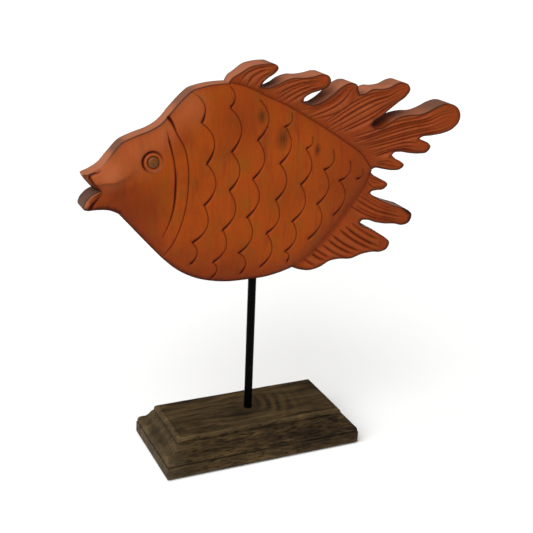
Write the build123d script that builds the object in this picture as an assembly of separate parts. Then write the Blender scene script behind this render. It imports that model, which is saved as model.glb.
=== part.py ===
from build123d import *
import os

# A carved wooden fish on a black rod and a moulded plinth.
# Millimetres, +Z up, +X along the plinth towards the tail, origin under the rod on the resting face.

# Pattern that the fish is sawn to
pattern_length = 400.0
pattern_height = 200.0
board_thickness = 25.0
body_rim_thickness = 20.0
body_shoulder_thickness = 23.0
fin_root_thickness = 14.0
fin_flare_width = 38.0
lip_thickness = 24.0
lip_width = 4.6

# Carved lines
scale_line_width = 1.5
scale_line_depth = 1.2
gill_line_width = 2.2
ray_line_width = 1.5
ray_line_depth = 1.2

# Eyes
eye_diameter = 10.4
eye_dome_height = 2.6
eye_shank_depth = 7.0
eye_ring_diameter = 18.4
eye_ring_width = 1.8

# Rod and its fits
rod_diameter = 8.0
rod_exposed_length = 143.0
rod_running_clearance = 0.05
fish_bore_depth = 45.0
rod_socket_depth = 18.0
rod_chamfer = 0.6

# Plinth
base_length = 205.0
base_width = 99.0
base_height = 35.0
base_side_height = 12.5
base_round_width = 4.5
base_round_height = 6.3
base_ledge_width = 3.6
base_ledge_rise = 3.0
base_cove_width = 5.8
base_cove_height = 10.2
base_arris_width = 2.5

# Fastening below the plinth
screw_diameter = 5.0
screw_thread_depth = 14.0
screw_head_diameter = 9.0
screw_head_height = 3.2
screw_slot_width = 1.4
screw_slot_depth = 1.5
screw_hole_clearance = 0.4
washer_diameter = 15.0
washer_thickness = 1.4
counterbore_depth = 7.5
counterbore_clearance = 0.5

# Felt
felt_thickness = 1.5
felt_inset = 4.0
felt_corner_radius = 3.0

cut_overrun = 5.0

# Heights of the stack
base_bottom = felt_thickness
base_top = base_bottom + base_height
rod_bottom = base_top - rod_socket_depth
belly_height = base_top + rod_exposed_length
rod_top = belly_height + fish_bore_depth
counterbore_top = base_bottom + counterbore_depth
washer_bottom = counterbore_top - washer_thickness
counterbore_radius = washer_diameter / 2 + counterbore_clearance

# Outline of the body, from the upper lip over the back to the tail, and back along the belly.
# Each pair is a share of the pattern's length from the rod and of its height from the belly.
head_top_shares = [
    (-0.4085, 0.5665), (-0.374, 0.5985), (-0.346, 0.6575), (-0.325, 0.700), (-0.297, 0.724),
    (-0.259, 0.749), (-0.2375, 0.772), (-0.210, 0.829), (-0.184, 0.8815), (-0.165, 0.912),
    (-0.142, 0.9255), (-0.108, 0.935), (-0.0775, 0.9365),
]
back_root_shares = [
    (-0.0775, 0.9365), (-0.045, 0.9235), (0.005, 0.876), (0.055, 0.832), (0.1175, 0.7625),
    (0.1675, 0.7025), (0.2175, 0.6375), (0.2675, 0.5665), (0.297, 0.484),
]
belly_root_shares = [
    (0.297, 0.484), (0.269, 0.374), (0.240, 0.295), (0.2125, 0.2215), (0.1825, 0.1575),
    (0.155, 0.102), (0.125, 0.059), (0.100, 0.035),
]
belly_shares = [
    (0.100, 0.035), (0.075, 0.0195), (0.0275, 0.0015), (-0.0225, -0.001), (-0.074, 0.002),
    (-0.108, 0.013), (-0.142, 0.032), (-0.169, 0.056), (-0.1965, 0.0905), (-0.2235, 0.138),
    (-0.264, 0.226), (-0.305, 0.321), (-0.334, 0.388),
]
chin_shares = [(-0.334, 0.388), (-0.357, 0.4095), (-0.380, 0.4155), (-0.402, 0.415)]
lower_lip_shares = [
    (-0.402, 0.415), (-0.416, 0.427), (-0.414, 0.447), (-0.405, 0.471), (-0.393, 0.489), (-0.3765, 0.499),
]
upper_lip_shares = [(-0.3765, 0.499), (-0.389, 0.514), (-0.401, 0.541), (-0.4085, 0.5665)]

# Lobes of the fins, one list for each lobe, from notch to notch
back_fin_lobe_shares = [
    [(-0.080, 0.930), (-0.072, 0.958), (-0.052, 0.984), (-0.031, 1.009), (-0.0075, 1.018), (0.0125, 1.020),
     (0.026, 1.0165), (0.0315, 1.005), (0.025, 0.985), (0.010, 0.965), (-0.001, 0.945), (-0.0045, 0.925)],
    [(-0.0045, 0.925), (0.0075, 0.920), (0.0325, 0.925), (0.055, 0.942), (0.075, 0.9515), (0.100, 0.950),
     (0.125, 0.955), (0.145, 0.9625), (0.159, 0.9575), (0.165, 0.940), (0.160, 0.9165), (0.140, 0.8985),
     (0.1175, 0.885), (0.1025, 0.8625), (0.101, 0.840)],
    [(0.101, 0.840), (0.1125, 0.8265), (0.1325, 0.821), (0.155, 0.838), (0.1775, 0.869), (0.200, 0.9025),
     (0.220, 0.9165), (0.235, 0.910), (0.239, 0.885), (0.244, 0.861)],
    [(0.244, 0.861), (0.260, 0.863), (0.280, 0.882), (0.305, 0.8815), (0.3275, 0.8875), (0.3475, 0.904),
     (0.364, 0.908), (0.376, 0.8965), (0.3805, 0.880), (0.3725, 0.8525), (0.3525, 0.825), (0.330, 0.794),
     (0.3075, 0.763), (0.285, 0.740), (0.279, 0.720)],
    [(0.279, 0.720), (0.285, 0.704), (0.3075, 0.695), (0.330, 0.7115), (0.3575, 0.739), (0.3875, 0.749),
     (0.420, 0.749), (0.445, 0.763), (0.470, 0.784), (0.4925, 0.794), (0.515, 0.783), (0.5275, 0.760),
     (0.532, 0.735), (0.529, 0.705), (0.515, 0.6775), (0.4875, 0.658), (0.455, 0.6505), (0.425, 0.644),
     (0.4175, 0.6335)],
    [(0.4175, 0.6335), (0.4275, 0.620), (0.445, 0.6065), (0.453, 0.590), (0.446, 0.569), (0.425, 0.5635),
     (0.395, 0.570), (0.3675, 0.580), (0.351, 0.576), (0.345, 0.560)],
    [(0.345, 0.560), (0.355, 0.540), (0.3725, 0.521), (0.381, 0.505), (0.374, 0.493), (0.3525, 0.4885),
     (0.3275, 0.497), (0.306, 0.502), (0.2965, 0.4875)],
]
belly_fin_lobe_shares = [
    [(0.2965, 0.474), (0.310, 0.448), (0.3275, 0.4325), (0.340, 0.4125), (0.3325, 0.3965), (0.3125, 0.3915),
     (0.300, 0.385), (0.296, 0.3725)],
    [(0.296, 0.3725), (0.305, 0.354), (0.3275, 0.330), (0.355, 0.304), (0.3825, 0.285), (0.405, 0.267),
     (0.416, 0.245), (0.409, 0.208), (0.3925, 0.2005), (0.370, 0.2115), (0.3425, 0.2175), (0.315, 0.230),
     (0.2925, 0.245), (0.276, 0.243), (0.271, 0.2275)],
    [(0.271, 0.2275), (0.275, 0.2115), (0.2975, 0.1915), (0.3225, 0.1625), (0.345, 0.135), (0.3575, 0.1075),
     (0.3525, 0.0825), (0.3375, 0.071), (0.310, 0.075), (0.280, 0.069), (0.2525, 0.0535), (0.220, 0.0575),
     (0.195, 0.0515), (0.170, 0.026), (0.1425, 0.013), (0.1175, 0.020), (0.096, 0.036)],
]
# Line that each fin's flare starts from, and the corner that closes its outline inside the body
back_fin_root_shares = [(-0.0825, 0.940), (0.297, 0.490)]
back_fin_inner_share = (-0.060, 0.800)
belly_fin_root_shares = [(0.294, 0.455), (0.098, 0.033)]
belly_fin_inner_share = (0.110, 0.280)

# Carved lines on the body: the cusps of each column of scales, and the two gill lines
scale_column_shares = [
    [(-0.169, 0.910), (-0.147, 0.774), (-0.134, 0.5875), (-0.139, 0.393), (-0.166, 0.220), (-0.1675, 0.115)],
    [(-0.080, 0.930), (-0.080, 0.835), (-0.075, 0.6325), (-0.0785, 0.4525), (-0.092, 0.2675), (-0.1135, 0.112),
     (-0.112, 0.031)],
    [(-0.005, 0.860), (-0.011, 0.680), (-0.021, 0.4985), (-0.031, 0.3175), (-0.049, 0.143), (-0.040, 0.0375)],
    [(0.075, 0.7925), (0.057, 0.735), (0.047, 0.5615), (0.040, 0.3865), (0.0195, 0.227), (0.0095, 0.0605)],
    [(0.130, 0.675), (0.1125, 0.624), (0.103, 0.451), (0.086, 0.274), (0.0715, 0.123), (0.0805, 0.0715)],
    [(0.1875, 0.600), (0.1635, 0.514), (0.151, 0.348), (0.136, 0.1785)],
    [(0.234, 0.545), (0.2075, 0.455), (0.200, 0.2815)],
    [(0.2725, 0.490), (0.258, 0.455)],
]
scale_bulge_share = 0.2
gill_line_shares = [
    [(-0.2235, 0.807), (-0.200, 0.7225), (-0.180, 0.610), (-0.177, 0.485), (-0.186, 0.354), (-0.203, 0.254),
     (-0.231, 0.1665)],
    [(-0.225, 0.729), (-0.214, 0.6475), (-0.208, 0.5415), (-0.209, 0.429), (-0.219, 0.3475), (-0.2345, 0.2695)],
]

# Fans of rays: first and last root, first and last tip, bend as a share of the chord
ray_fan_counts = [3, 4, 4, 4, 5, 2, 2, 2, 4, 6]
ray_fan_shares = [
    [(-0.060, 0.945), (-0.012, 0.915), (0.006, 1.005), (0.017, 0.990), 0.03],
    [(0.012, 0.890), (0.066, 0.835), (0.146, 0.950), (0.118, 0.895), 0.02],
    [(0.100, 0.800), (0.144, 0.753), (0.216, 0.900), (0.228, 0.866), -0.04],
    [(0.156, 0.738), (0.205, 0.678), (0.362, 0.890), (0.350, 0.832), 0.05],
    [(0.222, 0.656), (0.268, 0.592), (0.512, 0.765), (0.500, 0.682), 0.03],
    [(0.279, 0.575), (0.292, 0.545), (0.442, 0.597), (0.430, 0.580), 0.07],
    [(0.300, 0.534), (0.304, 0.515), (0.368, 0.513), (0.360, 0.500), 0.03],
    [(0.302, 0.452), (0.296, 0.425), (0.328, 0.420), (0.322, 0.404), 0.02],
    [(0.281, 0.394), (0.246, 0.296), (0.402, 0.254), (0.392, 0.218), -0.02],
    [(0.234, 0.268), (0.156, 0.088), (0.344, 0.122), (0.198, 0.062), -0.06],
]

# Crown of the body: how far each level shrinks towards the middle of the body
body_middle_share = (-0.060, 0.460)
shoulder_shrink_share = 0.93
crown_shrink_share = 0.82

eye_place_share = (-0.260, 0.614)

# Bends of the plinth's moulding
round_bulge_share = 0.2
cove_bulge_share = 0.05
arris_bulge_share = 0.15


def place(share):
    """Point of the pattern, across from the rod and up from the belly."""
    return Vector(share[0] * pattern_length, share[1] * pattern_height)


def places(shares):
    return [place(share) for share in shares]


def curve(shares):
    return Spline(*places(shares))


def bowed(start, end, bulge_share):
    """Arc between two points that bows to the left of its direction, by a share of its chord."""
    middle = (start + end) / 2
    across = end - start
    return ThreePointArc(start, middle + Vector(-across.Y, across.X) * bulge_share, end)


def standing(flat_shape, depth=0.0):
    """Stand a flat shape up in the fish's plane, a depth in front of the rod's axis."""
    lifted = Plane.XZ.offset(depth).location * flat_shape
    return Pos(0, 0, belly_height) * lifted


def slab(flat_shape, thickness):
    """Slab of the flat shape, half of its thickness on each side of the fish's plane."""
    return extrude(standing(flat_shape), amount=thickness / 2, both=True)


def body_outline():
    outline_parts = [head_top_shares, back_root_shares, belly_root_shares, belly_shares]
    outline_parts += [chin_shares, lower_lip_shares, upper_lip_shares]
    return make_face([curve(shares) for shares in outline_parts])


def shrunk(flat_shape, shrink_share):
    """The flat shape, shrunk about the middle of the body."""
    return Pos(place(body_middle_share) * (1 - shrink_share)) * scale(flat_shape, by=shrink_share)


def crowned_body(sunk):
    """Body with a crowned face on each side, sunk all over by a depth."""
    outline = body_outline()
    half_levels = [
        (body_rim_thickness / 2 - sunk, 1),
        (body_shoulder_thickness / 2 - sunk, shoulder_shrink_share),
        (board_thickness / 2 - sunk, crown_shrink_share),
    ]
    levels = [(-height, size) for height, size in reversed(half_levels)] + half_levels
    return loft([standing(shrunk(outline, size), height) for height, size in levels], ruled=True)


def fin_flare(root_shares, sunk):
    """Bar along a fin's root that is thin inside the root line and flares to the board's thickness."""
    root_start, root_end = places(root_shares)
    along = (root_end - root_start).normalized()
    outward = Vector(-along.Y, along.X)
    reach = pattern_length
    thin = fin_root_thickness / 2 - sunk
    full = board_thickness / 2 - sunk
    section = Polyline(
        (-reach, -thin), (0, -thin), (fin_flare_width, -full), (reach, -full),
        (reach, full), (fin_flare_width, full), (0, thin), (-reach, thin),
        close=True,
    )
    root_plane = Plane(
        origin=Vector(root_start.X, 0, root_start.Y + belly_height),
        x_dir=Vector(outward.X, 0, outward.Y),
        z_dir=Vector(along.X, 0, along.Y),
    )
    return extrude(root_plane * make_face(section), amount=reach, both=True)


def fin_outline(lobe_shares, inner_share):
    edges = [curve(shares) for shares in lobe_shares]
    first = place(lobe_shares[0][0])
    last = place(lobe_shares[-1][-1])
    edges += [Line(last, place(inner_share)), Line(place(inner_share), first)]
    return make_face(edges)


def scale_lines():
    lines = []
    for shares in scale_column_shares:
        cusps = places(shares)
        lines += [bowed(upper, lower, scale_bulge_share) for upper, lower in zip(cusps, cusps[1:])]
    return lines


def ray_lines():
    lines = []
    for count, fan in zip(ray_fan_counts, ray_fan_shares):
        root_first, root_last, tip_first, tip_last = places(fan[:-1])
        for index in range(count):
            step = index / (count - 1)
            root = root_first + (root_last - root_first) * step
            tip = tip_first + (tip_last - tip_first) * step
            lines.append(bowed(root, tip, fan[-1]))
    return lines


def line_walls(lines, width):
    """Upright walls along carved lines, through the whole board."""
    return [slab(trace(line, line_width=width), board_thickness + cut_overrun) for line in lines]


def carve(solid, walls, core):
    """Cut the walls into the solid, down to the core."""
    cutters = [cutter for wall in walls for cutter in (wall - core).solids()]
    return solid - cutters


def eye_axis(side):
    """Plane on the board's face at the eye, with its normal away from the board."""
    spot = place(eye_place_share)
    origin = Vector(spot.X, side * board_thickness / 2, spot.Y + belly_height)
    return Plane(origin=origin, x_dir=Vector(1, 0, 0), z_dir=Vector(0, side, 0))


def eye_ring_cut(side):
    ring = Circle(eye_ring_diameter / 2) - Circle(eye_ring_diameter / 2 - eye_ring_width)
    return extrude(eye_axis(side) * ring, amount=scale_line_depth, both=True)


def eye_hole(side):
    return extrude(eye_axis(side) * Circle(eye_diameter / 2), amount=-eye_shank_depth)


def make_eye(side):
    """Plug with a straight shank and a domed head, turned about the eye's axis."""
    radius = eye_diameter / 2
    dome = ThreePointArc((radius, 0), (0, eye_dome_height), (-radius, 0))
    section = make_face([
        Line((0, -eye_shank_depth), (radius, -eye_shank_depth)),
        Line((radius, -eye_shank_depth), (radius, 0)),
        ThreePointArc((radius, 0), dome @ 0.25, (0, eye_dome_height)),
        Line((0, eye_dome_height), (0, -eye_shank_depth)),
    ])
    return eye_axis(side) * revolve(Plane.XZ * section, Axis.Z)


def lip_pad(lip_shares):
    """Thick band along one lip's edge, with a straight line behind the lip."""
    lip_start = place(lip_shares[0])
    lip_end = place(lip_shares[-1])
    chord = lip_end - lip_start
    outward = Vector(-chord.Y, chord.X).normalized()
    middle = (lip_start + lip_end) / 2 + outward * lip_width / 2
    band = Plane(origin=middle, x_dir=chord) * Rectangle(chord.length + 2 * lip_width, 2 * lip_width)
    return slab(band & body_outline(), lip_thickness)


def make_fish_board():
    body = crowned_body(0)
    body_lines = scale_lines()
    gill_lines = [curve(shares) for shares in gill_line_shares]
    body_walls = line_walls(body_lines, scale_line_width) + line_walls(gill_lines, gill_line_width)
    body = carve(body, body_walls, crowned_body(scale_line_depth))
    back_fin = slab(fin_outline(back_fin_lobe_shares, back_fin_inner_share), board_thickness)
    belly_fin = slab(fin_outline(belly_fin_lobe_shares, belly_fin_inner_share), board_thickness)
    ray_walls = line_walls(ray_lines(), ray_line_width)
    back_fin = back_fin & fin_flare(back_fin_root_shares, 0)
    belly_fin = belly_fin & fin_flare(belly_fin_root_shares, 0)
    back_count = sum(ray_fan_counts[:len(back_fin_lobe_shares)])
    back_fin = carve(back_fin, ray_walls[:back_count], fin_flare(back_fin_root_shares, ray_line_depth))
    belly_fin = carve(belly_fin, ray_walls[back_count:], fin_flare(belly_fin_root_shares, ray_line_depth))
    fish = body + back_fin + belly_fin + lip_pad(lower_lip_shares) + lip_pad(upper_lip_shares)
    fish -= upright(rod_diameter / 2 + rod_running_clearance, belly_height - cut_overrun, rod_top)
    for side in (-1, 1):
        fish -= eye_ring_cut(side)
        fish -= eye_hole(side)
    return fish


def upright(radius, bottom, top):
    """Round bar on the rod's axis."""
    return extrude(Pos(0, 0, bottom) * Circle(radius), amount=top - bottom)


def make_rod():
    rod = upright(rod_diameter / 2, rod_bottom, rod_top)
    rod = chamfer(rod.edges().group_by(Axis.Z)[-1], rod_chamfer)
    return rod - upright(screw_diameter / 2, rod_bottom - cut_overrun, rod_bottom + screw_thread_depth)


def moulding_section(half_width):
    """Section of the plinth from its middle to one moulded edge, and its mirror."""
    corner = Vector(half_width, 0)
    side_top = corner + Vector(0, base_side_height)
    round_top = side_top + Vector(-base_round_width, base_round_height)
    ledge_end = round_top + Vector(-base_ledge_width, base_ledge_rise)
    cove_top = ledge_end + Vector(-base_cove_width, base_cove_height)
    top_edge = Vector(cove_top.X - base_arris_width, base_height)
    half = make_face([
        Line((0, 0), corner),
        Line(corner, side_top),
        bowed(side_top, round_top, -round_bulge_share),
        Line(round_top, ledge_end),
        bowed(ledge_end, cove_top, cove_bulge_share),
        bowed(cove_top, top_edge, -arris_bulge_share),
        Line(top_edge, (0, base_height)),
        Line((0, base_height), (0, 0)),
    ])
    return half + mirror(half, about=Plane.YZ)


def make_base():
    """Plinth with its moulding mitred at the corners, bored for the rod and its screw."""
    lengthwise = extrude(Plane.XZ * moulding_section(base_length / 2), amount=base_width / 2, both=True)
    crosswise = extrude(Plane.YZ * moulding_section(base_width / 2), amount=base_length / 2, both=True)
    base = Pos(0, 0, base_bottom) * (lengthwise & crosswise)
    base -= upright(rod_diameter / 2 + rod_running_clearance, rod_bottom, base_top + cut_overrun)
    base -= upright(screw_diameter / 2 + screw_hole_clearance, base_bottom - cut_overrun, rod_bottom)
    base -= upright(counterbore_radius, base_bottom - cut_overrun, counterbore_top)
    return base


def make_base_screw():
    """Slotted screw from below, with its thread drawn as a plain bar."""
    head = upright(screw_head_diameter / 2, washer_bottom - screw_head_height, washer_bottom)
    slot = Box(screw_head_diameter + cut_overrun, screw_slot_width, 2 * screw_slot_depth)
    shank = upright(screw_diameter / 2, washer_bottom, rod_bottom + screw_thread_depth)
    return head + shank - Pos(0, 0, washer_bottom - screw_head_height) * slot


def make_base_washer():
    ring = upright(washer_diameter / 2, washer_bottom, counterbore_top)
    hole_radius = screw_diameter / 2 + screw_hole_clearance
    return ring - upright(hole_radius, washer_bottom - cut_overrun, counterbore_top + cut_overrun)


def make_base_felt():
    sheet = RectangleRounded(base_length - 2 * felt_inset, base_width - 2 * felt_inset, felt_corner_radius)
    return extrude(sheet, amount=felt_thickness)


parts = {
    "fish_board": make_fish_board(),
    "front_eye": make_eye(-1),
    "rear_eye": make_eye(1),
    "rod": make_rod(),
    "base": make_base(),
    "base_screw": make_base_screw(),
    "base_washer": make_base_washer(),
    "base_felt": make_base_felt(),
}

os.makedirs("parts", exist_ok=True)
for name, solid in parts.items():
    solid.label = name
    export_step(solid, f"parts/{name}.step")
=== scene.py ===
import math
import random

import bpy
import numpy as np
from bpy.props import FloatProperty, FloatVectorProperty, PointerProperty
from mathutils import Euler, Matrix, Vector, noise
from mathutils.geometry import delaunay_2d_cdt


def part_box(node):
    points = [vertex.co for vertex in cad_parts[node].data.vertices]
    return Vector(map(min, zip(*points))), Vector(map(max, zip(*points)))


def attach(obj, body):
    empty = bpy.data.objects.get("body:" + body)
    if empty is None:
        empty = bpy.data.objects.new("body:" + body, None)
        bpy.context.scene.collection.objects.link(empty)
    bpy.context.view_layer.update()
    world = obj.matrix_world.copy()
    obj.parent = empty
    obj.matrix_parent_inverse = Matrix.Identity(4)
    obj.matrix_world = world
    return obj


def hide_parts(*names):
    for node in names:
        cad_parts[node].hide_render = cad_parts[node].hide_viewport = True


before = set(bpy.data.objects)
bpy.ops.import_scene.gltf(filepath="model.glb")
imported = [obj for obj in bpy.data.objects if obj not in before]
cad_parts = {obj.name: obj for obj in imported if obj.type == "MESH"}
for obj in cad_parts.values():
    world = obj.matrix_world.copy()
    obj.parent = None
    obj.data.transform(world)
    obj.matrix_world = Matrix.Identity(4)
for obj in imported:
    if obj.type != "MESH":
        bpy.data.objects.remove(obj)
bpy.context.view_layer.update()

bl_info = {
    "name": "Carved Fish",
    "version": (1, 0, 0),
    "blender": (4, 5, 0),
    "location": "3D View > Sidebar > Carved Fish",
    "description": "Carved and stained wooden fish on a black rod and a moulded plinth",
    "category": "Object",
}

MM = 0.001

# Places that the frame gives, in metres
fish_low, fish_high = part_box("fish_board")
rod_low, rod_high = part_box("rod")
base_low, base_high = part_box("base")
eye_low, eye_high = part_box("front_eye")

# Outline of the body, from the upper lip over the back to the tail, and back along the belly.
# Each pair is a share of the pattern's length from the rod and of its height from the belly.
HEAD_TOP_SHARES = [
    (-0.4085, 0.5665), (-0.374, 0.5985), (-0.346, 0.6575), (-0.325, 0.700), (-0.297, 0.724),
    (-0.259, 0.749), (-0.2375, 0.772), (-0.210, 0.829), (-0.184, 0.8815), (-0.165, 0.912),
    (-0.142, 0.9255), (-0.108, 0.935), (-0.0775, 0.9365),
]
BACK_ROOT_SHARES = [
    (-0.0775, 0.9365), (-0.045, 0.9235), (0.005, 0.876), (0.055, 0.832), (0.1175, 0.7625),
    (0.1675, 0.7025), (0.2175, 0.6375), (0.2675, 0.5665), (0.297, 0.484),
]
BELLY_ROOT_SHARES = [
    (0.297, 0.484), (0.269, 0.374), (0.240, 0.295), (0.2125, 0.2215), (0.1825, 0.1575),
    (0.155, 0.102), (0.125, 0.059), (0.100, 0.035),
]
BELLY_SHARES = [
    (0.100, 0.035), (0.075, 0.0195), (0.0275, 0.0015), (-0.0225, -0.001), (-0.074, 0.002),
    (-0.108, 0.013), (-0.142, 0.032), (-0.169, 0.056), (-0.1965, 0.0905), (-0.2235, 0.138),
    (-0.264, 0.226), (-0.305, 0.321), (-0.334, 0.388),
]
CHIN_SHARES = [(-0.334, 0.388), (-0.357, 0.4095), (-0.380, 0.4155), (-0.402, 0.415)]
LOWER_LIP_SHARES = [
    (-0.402, 0.415), (-0.416, 0.427), (-0.414, 0.447), (-0.405, 0.471), (-0.393, 0.489), (-0.3765, 0.499),
]
UPPER_LIP_SHARES = [(-0.3765, 0.499), (-0.389, 0.514), (-0.401, 0.541), (-0.4085, 0.5665)]

# Lobes of the fins, one list for each lobe, from notch to notch, and the place of its tip in the list
BACK_FIN_LOBE_SHARES = [
    [(-0.080, 0.930), (-0.072, 0.958), (-0.052, 0.984), (-0.031, 1.009), (-0.0075, 1.018), (0.0125, 1.020),
     (0.026, 1.0165), (0.0315, 1.005), (0.025, 0.985), (0.010, 0.965), (-0.002, 0.940), (-0.005, 0.914)],
    [(-0.005, 0.914), (0.008, 0.908), (0.0325, 0.919), (0.055, 0.941), (0.075, 0.9515), (0.100, 0.950),
     (0.125, 0.955), (0.145, 0.9625), (0.159, 0.9575), (0.165, 0.940), (0.160, 0.9165), (0.140, 0.8985),
     (0.1175, 0.885), (0.1025, 0.8625), (0.101, 0.840)],
    [(0.101, 0.840), (0.1125, 0.8265), (0.1325, 0.821), (0.155, 0.838), (0.1775, 0.869), (0.200, 0.9025),
     (0.220, 0.9165), (0.235, 0.910), (0.239, 0.885), (0.244, 0.861)],
    [(0.244, 0.861), (0.260, 0.863), (0.280, 0.882), (0.305, 0.8815), (0.3275, 0.8875), (0.3475, 0.904),
     (0.364, 0.908), (0.376, 0.8965), (0.3805, 0.880), (0.3725, 0.8525), (0.3525, 0.825), (0.330, 0.794),
     (0.3075, 0.763), (0.285, 0.740), (0.279, 0.720)],
    [(0.279, 0.720), (0.285, 0.704), (0.3075, 0.695), (0.330, 0.7115), (0.3575, 0.739), (0.3875, 0.749),
     (0.420, 0.749), (0.445, 0.763), (0.470, 0.784), (0.4925, 0.794), (0.515, 0.783), (0.5275, 0.760),
     (0.532, 0.735), (0.529, 0.705), (0.515, 0.6775), (0.4875, 0.658), (0.455, 0.6505), (0.425, 0.644),
     (0.4175, 0.6335)],
    [(0.4175, 0.6335), (0.4275, 0.620), (0.445, 0.6065), (0.453, 0.590), (0.446, 0.569), (0.425, 0.5635),
     (0.395, 0.570), (0.3675, 0.580), (0.351, 0.576), (0.345, 0.560)],
    [(0.345, 0.560), (0.355, 0.540), (0.3725, 0.521), (0.381, 0.505), (0.374, 0.493), (0.3525, 0.4885),
     (0.3275, 0.497), (0.306, 0.502), (0.2965, 0.4875)],
]
BELLY_FIN_LOBE_SHARES = [
    [(0.2965, 0.474), (0.310, 0.448), (0.3275, 0.4325), (0.340, 0.4125), (0.3325, 0.3965), (0.3125, 0.3915),
     (0.300, 0.385), (0.296, 0.3725)],
    [(0.296, 0.3725), (0.305, 0.354), (0.3275, 0.330), (0.355, 0.304), (0.3825, 0.285), (0.405, 0.267),
     (0.416, 0.245), (0.409, 0.208), (0.3925, 0.2005), (0.370, 0.2115), (0.3425, 0.2175), (0.315, 0.230),
     (0.2925, 0.245), (0.276, 0.243), (0.271, 0.2275)],
    [(0.271, 0.2275), (0.275, 0.2115), (0.2975, 0.1915), (0.3225, 0.1625), (0.345, 0.135), (0.3575, 0.1075),
     (0.3525, 0.0825), (0.3375, 0.071), (0.310, 0.075), (0.280, 0.069), (0.2525, 0.0535), (0.220, 0.0575),
     (0.195, 0.0515), (0.170, 0.026), (0.1425, 0.013), (0.1175, 0.020), (0.096, 0.036)],
]
LOBE_TIPS = [7, 9, 7, 8, 12, 3, 3, 3, 6, 5]
BACK_FIN_INNER_SHARE = (-0.060, 0.800)
BELLY_FIN_INNER_SHARE = (0.110, 0.280)

# Rays of each lobe: how many, and the first and last root
RAY_COUNTS = [3, 5, 5, 6, 7, 3, 2, 3, 5, 9]
RAY_ROOT_SHARES = [
    [(-0.064, 0.942), (-0.010, 0.906)],
    [(0.006, 0.886), (0.072, 0.826)],
    [(0.086, 0.808), (0.140, 0.750)],
    [(0.150, 0.738), (0.206, 0.670)],
    [(0.218, 0.652), (0.268, 0.588)],
    [(0.276, 0.572), (0.292, 0.540)],
    [(0.298, 0.528), (0.304, 0.512)],
    [(0.300, 0.460), (0.290, 0.422)],
    [(0.280, 0.396), (0.246, 0.296)],
    [(0.252, 0.262), (0.124, 0.052)],
]
# Which way the rays of the last lobe run, as a line between two places
LAST_RAY_SHARES = [(0.2975, 0.1915), (0.345, 0.135)]

# Carved lines of the body: the cusps of each column of scales, the gill lines, and creases at the mouth
SCALE_COLUMN_SHARES = [
    [(-0.169, 0.910), (-0.147, 0.774), (-0.134, 0.5875), (-0.139, 0.393), (-0.166, 0.220), (-0.1675, 0.115)],
    [(-0.080, 0.930), (-0.080, 0.835), (-0.075, 0.6325), (-0.0785, 0.4525), (-0.092, 0.2675), (-0.1135, 0.112),
     (-0.112, 0.031)],
    [(-0.005, 0.860), (-0.011, 0.680), (-0.021, 0.4985), (-0.031, 0.3175), (-0.049, 0.143), (-0.040, 0.0375)],
    [(0.075, 0.7925), (0.057, 0.735), (0.047, 0.5615), (0.040, 0.3865), (0.0195, 0.227), (0.0095, 0.0605)],
    [(0.130, 0.675), (0.1125, 0.624), (0.103, 0.451), (0.086, 0.274), (0.0715, 0.123), (0.0805, 0.0715)],
    [(0.1875, 0.600), (0.1635, 0.514), (0.151, 0.348), (0.136, 0.1785)],
    [(0.234, 0.545), (0.2075, 0.455), (0.200, 0.2815)],
    [(0.2725, 0.490), (0.258, 0.455)],
]
SCALE_BULGE_SHARE = 0.26
OUTER_GILL_SHARES = [
    (-0.2255, 0.815), (-0.2161, 0.790), (-0.2035, 0.732), (-0.1862, 0.668), (-0.178, 0.5954),
    (-0.177, 0.490), (-0.186, 0.360), (-0.205, 0.251), (-0.231, 0.1665),
]
INNER_GILL_SHARES = [
    (-0.225, 0.740), (-0.2225, 0.712), (-0.2165, 0.664), (-0.2108, 0.6116), (-0.2072, 0.5504),
    (-0.2078, 0.460), (-0.2111, 0.397), (-0.2198, 0.3327), (-0.2345, 0.2695),
]
LIP_CREASE_SHARES = [(-0.3715, 0.491), (-0.381, 0.4675), (-0.3925, 0.443), (-0.3985, 0.424)]
LIP_EDGE_SHARES = [(-0.4005, 0.567), (-0.394, 0.5403), (-0.3835, 0.5178), (-0.3735, 0.496)]
LIP_NOTCH_SHARES = [(-0.398, 0.572), (-0.3885, 0.580), (-0.3813, 0.582), (-0.376, 0.592)]
SNOUT_EDGE_SHARES = [
    (-0.3817, 0.531), (-0.3579, 0.531), (-0.3432, 0.5348), (-0.3208, 0.5498), (-0.3057, 0.5735), (-0.2888, 0.6007),
]
# Darker spots, partly pooled stain and partly painted shade on the cheek, the mouth's corner and under the belly;
# and spots of painted sheen on the snout and the upper head: place, width and strength
POOL_AND_SHADE_SHARES = [
    ((-0.310, 0.400), 0.130, 0.6), ((-0.060, 0.000), 0.140, 0.35), ((0.230, 0.470), 0.140, 0.4),
    ((-0.150, 0.120), 0.110, 0.2), ((0.060, 0.420), 0.090, 0.25), ((-0.055, 0.770), 0.100, 0.42),
    ((-0.345, 0.492), 0.036, 0.7),
]
SHEEN_SHARES = [
    ((-0.362, 0.577), 0.060, 0.6), ((-0.300, 0.670), 0.090, 0.33), ((-0.235, 0.740), 0.060, 0.3),
    ((-0.180, 0.850), 0.075, 0.35),
]
# Grey patches of the sawn edge: place, width and strength
WORN_SHARES = [
    ((-0.335, 0.690), 0.030, 0.75), ((-0.180, 0.885), 0.045, 0.6), ((0.028, 1.010), 0.030, 0.5),
    ((0.490, 0.795), 0.085, 0.8),
]
# The deepest notch between two lobes, where the fin is thicker and its edge takes the darker colour of the face as
# painted shade
NOTCH_SHARE = (0.290, 0.705)
# Where the snout's edge is rubbed bare, and the fin tip whose edge is black with wax
SNOUT_WEAR_SHARE = (-0.370, 0.608)
TIP_WAX_SHARE = (0.406, 0.244)
# Rubbed smudges on the scales: place and width, and how much they are drawn out along each axis
SMUDGE_SHARES = [((-0.003, 0.7906), 0.017), ((0.0506, 0.684), 0.026), ((0.1436, 0.615), 0.014)]
SMUDGE_STRETCH = (1, 0.2, 0.6)
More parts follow.
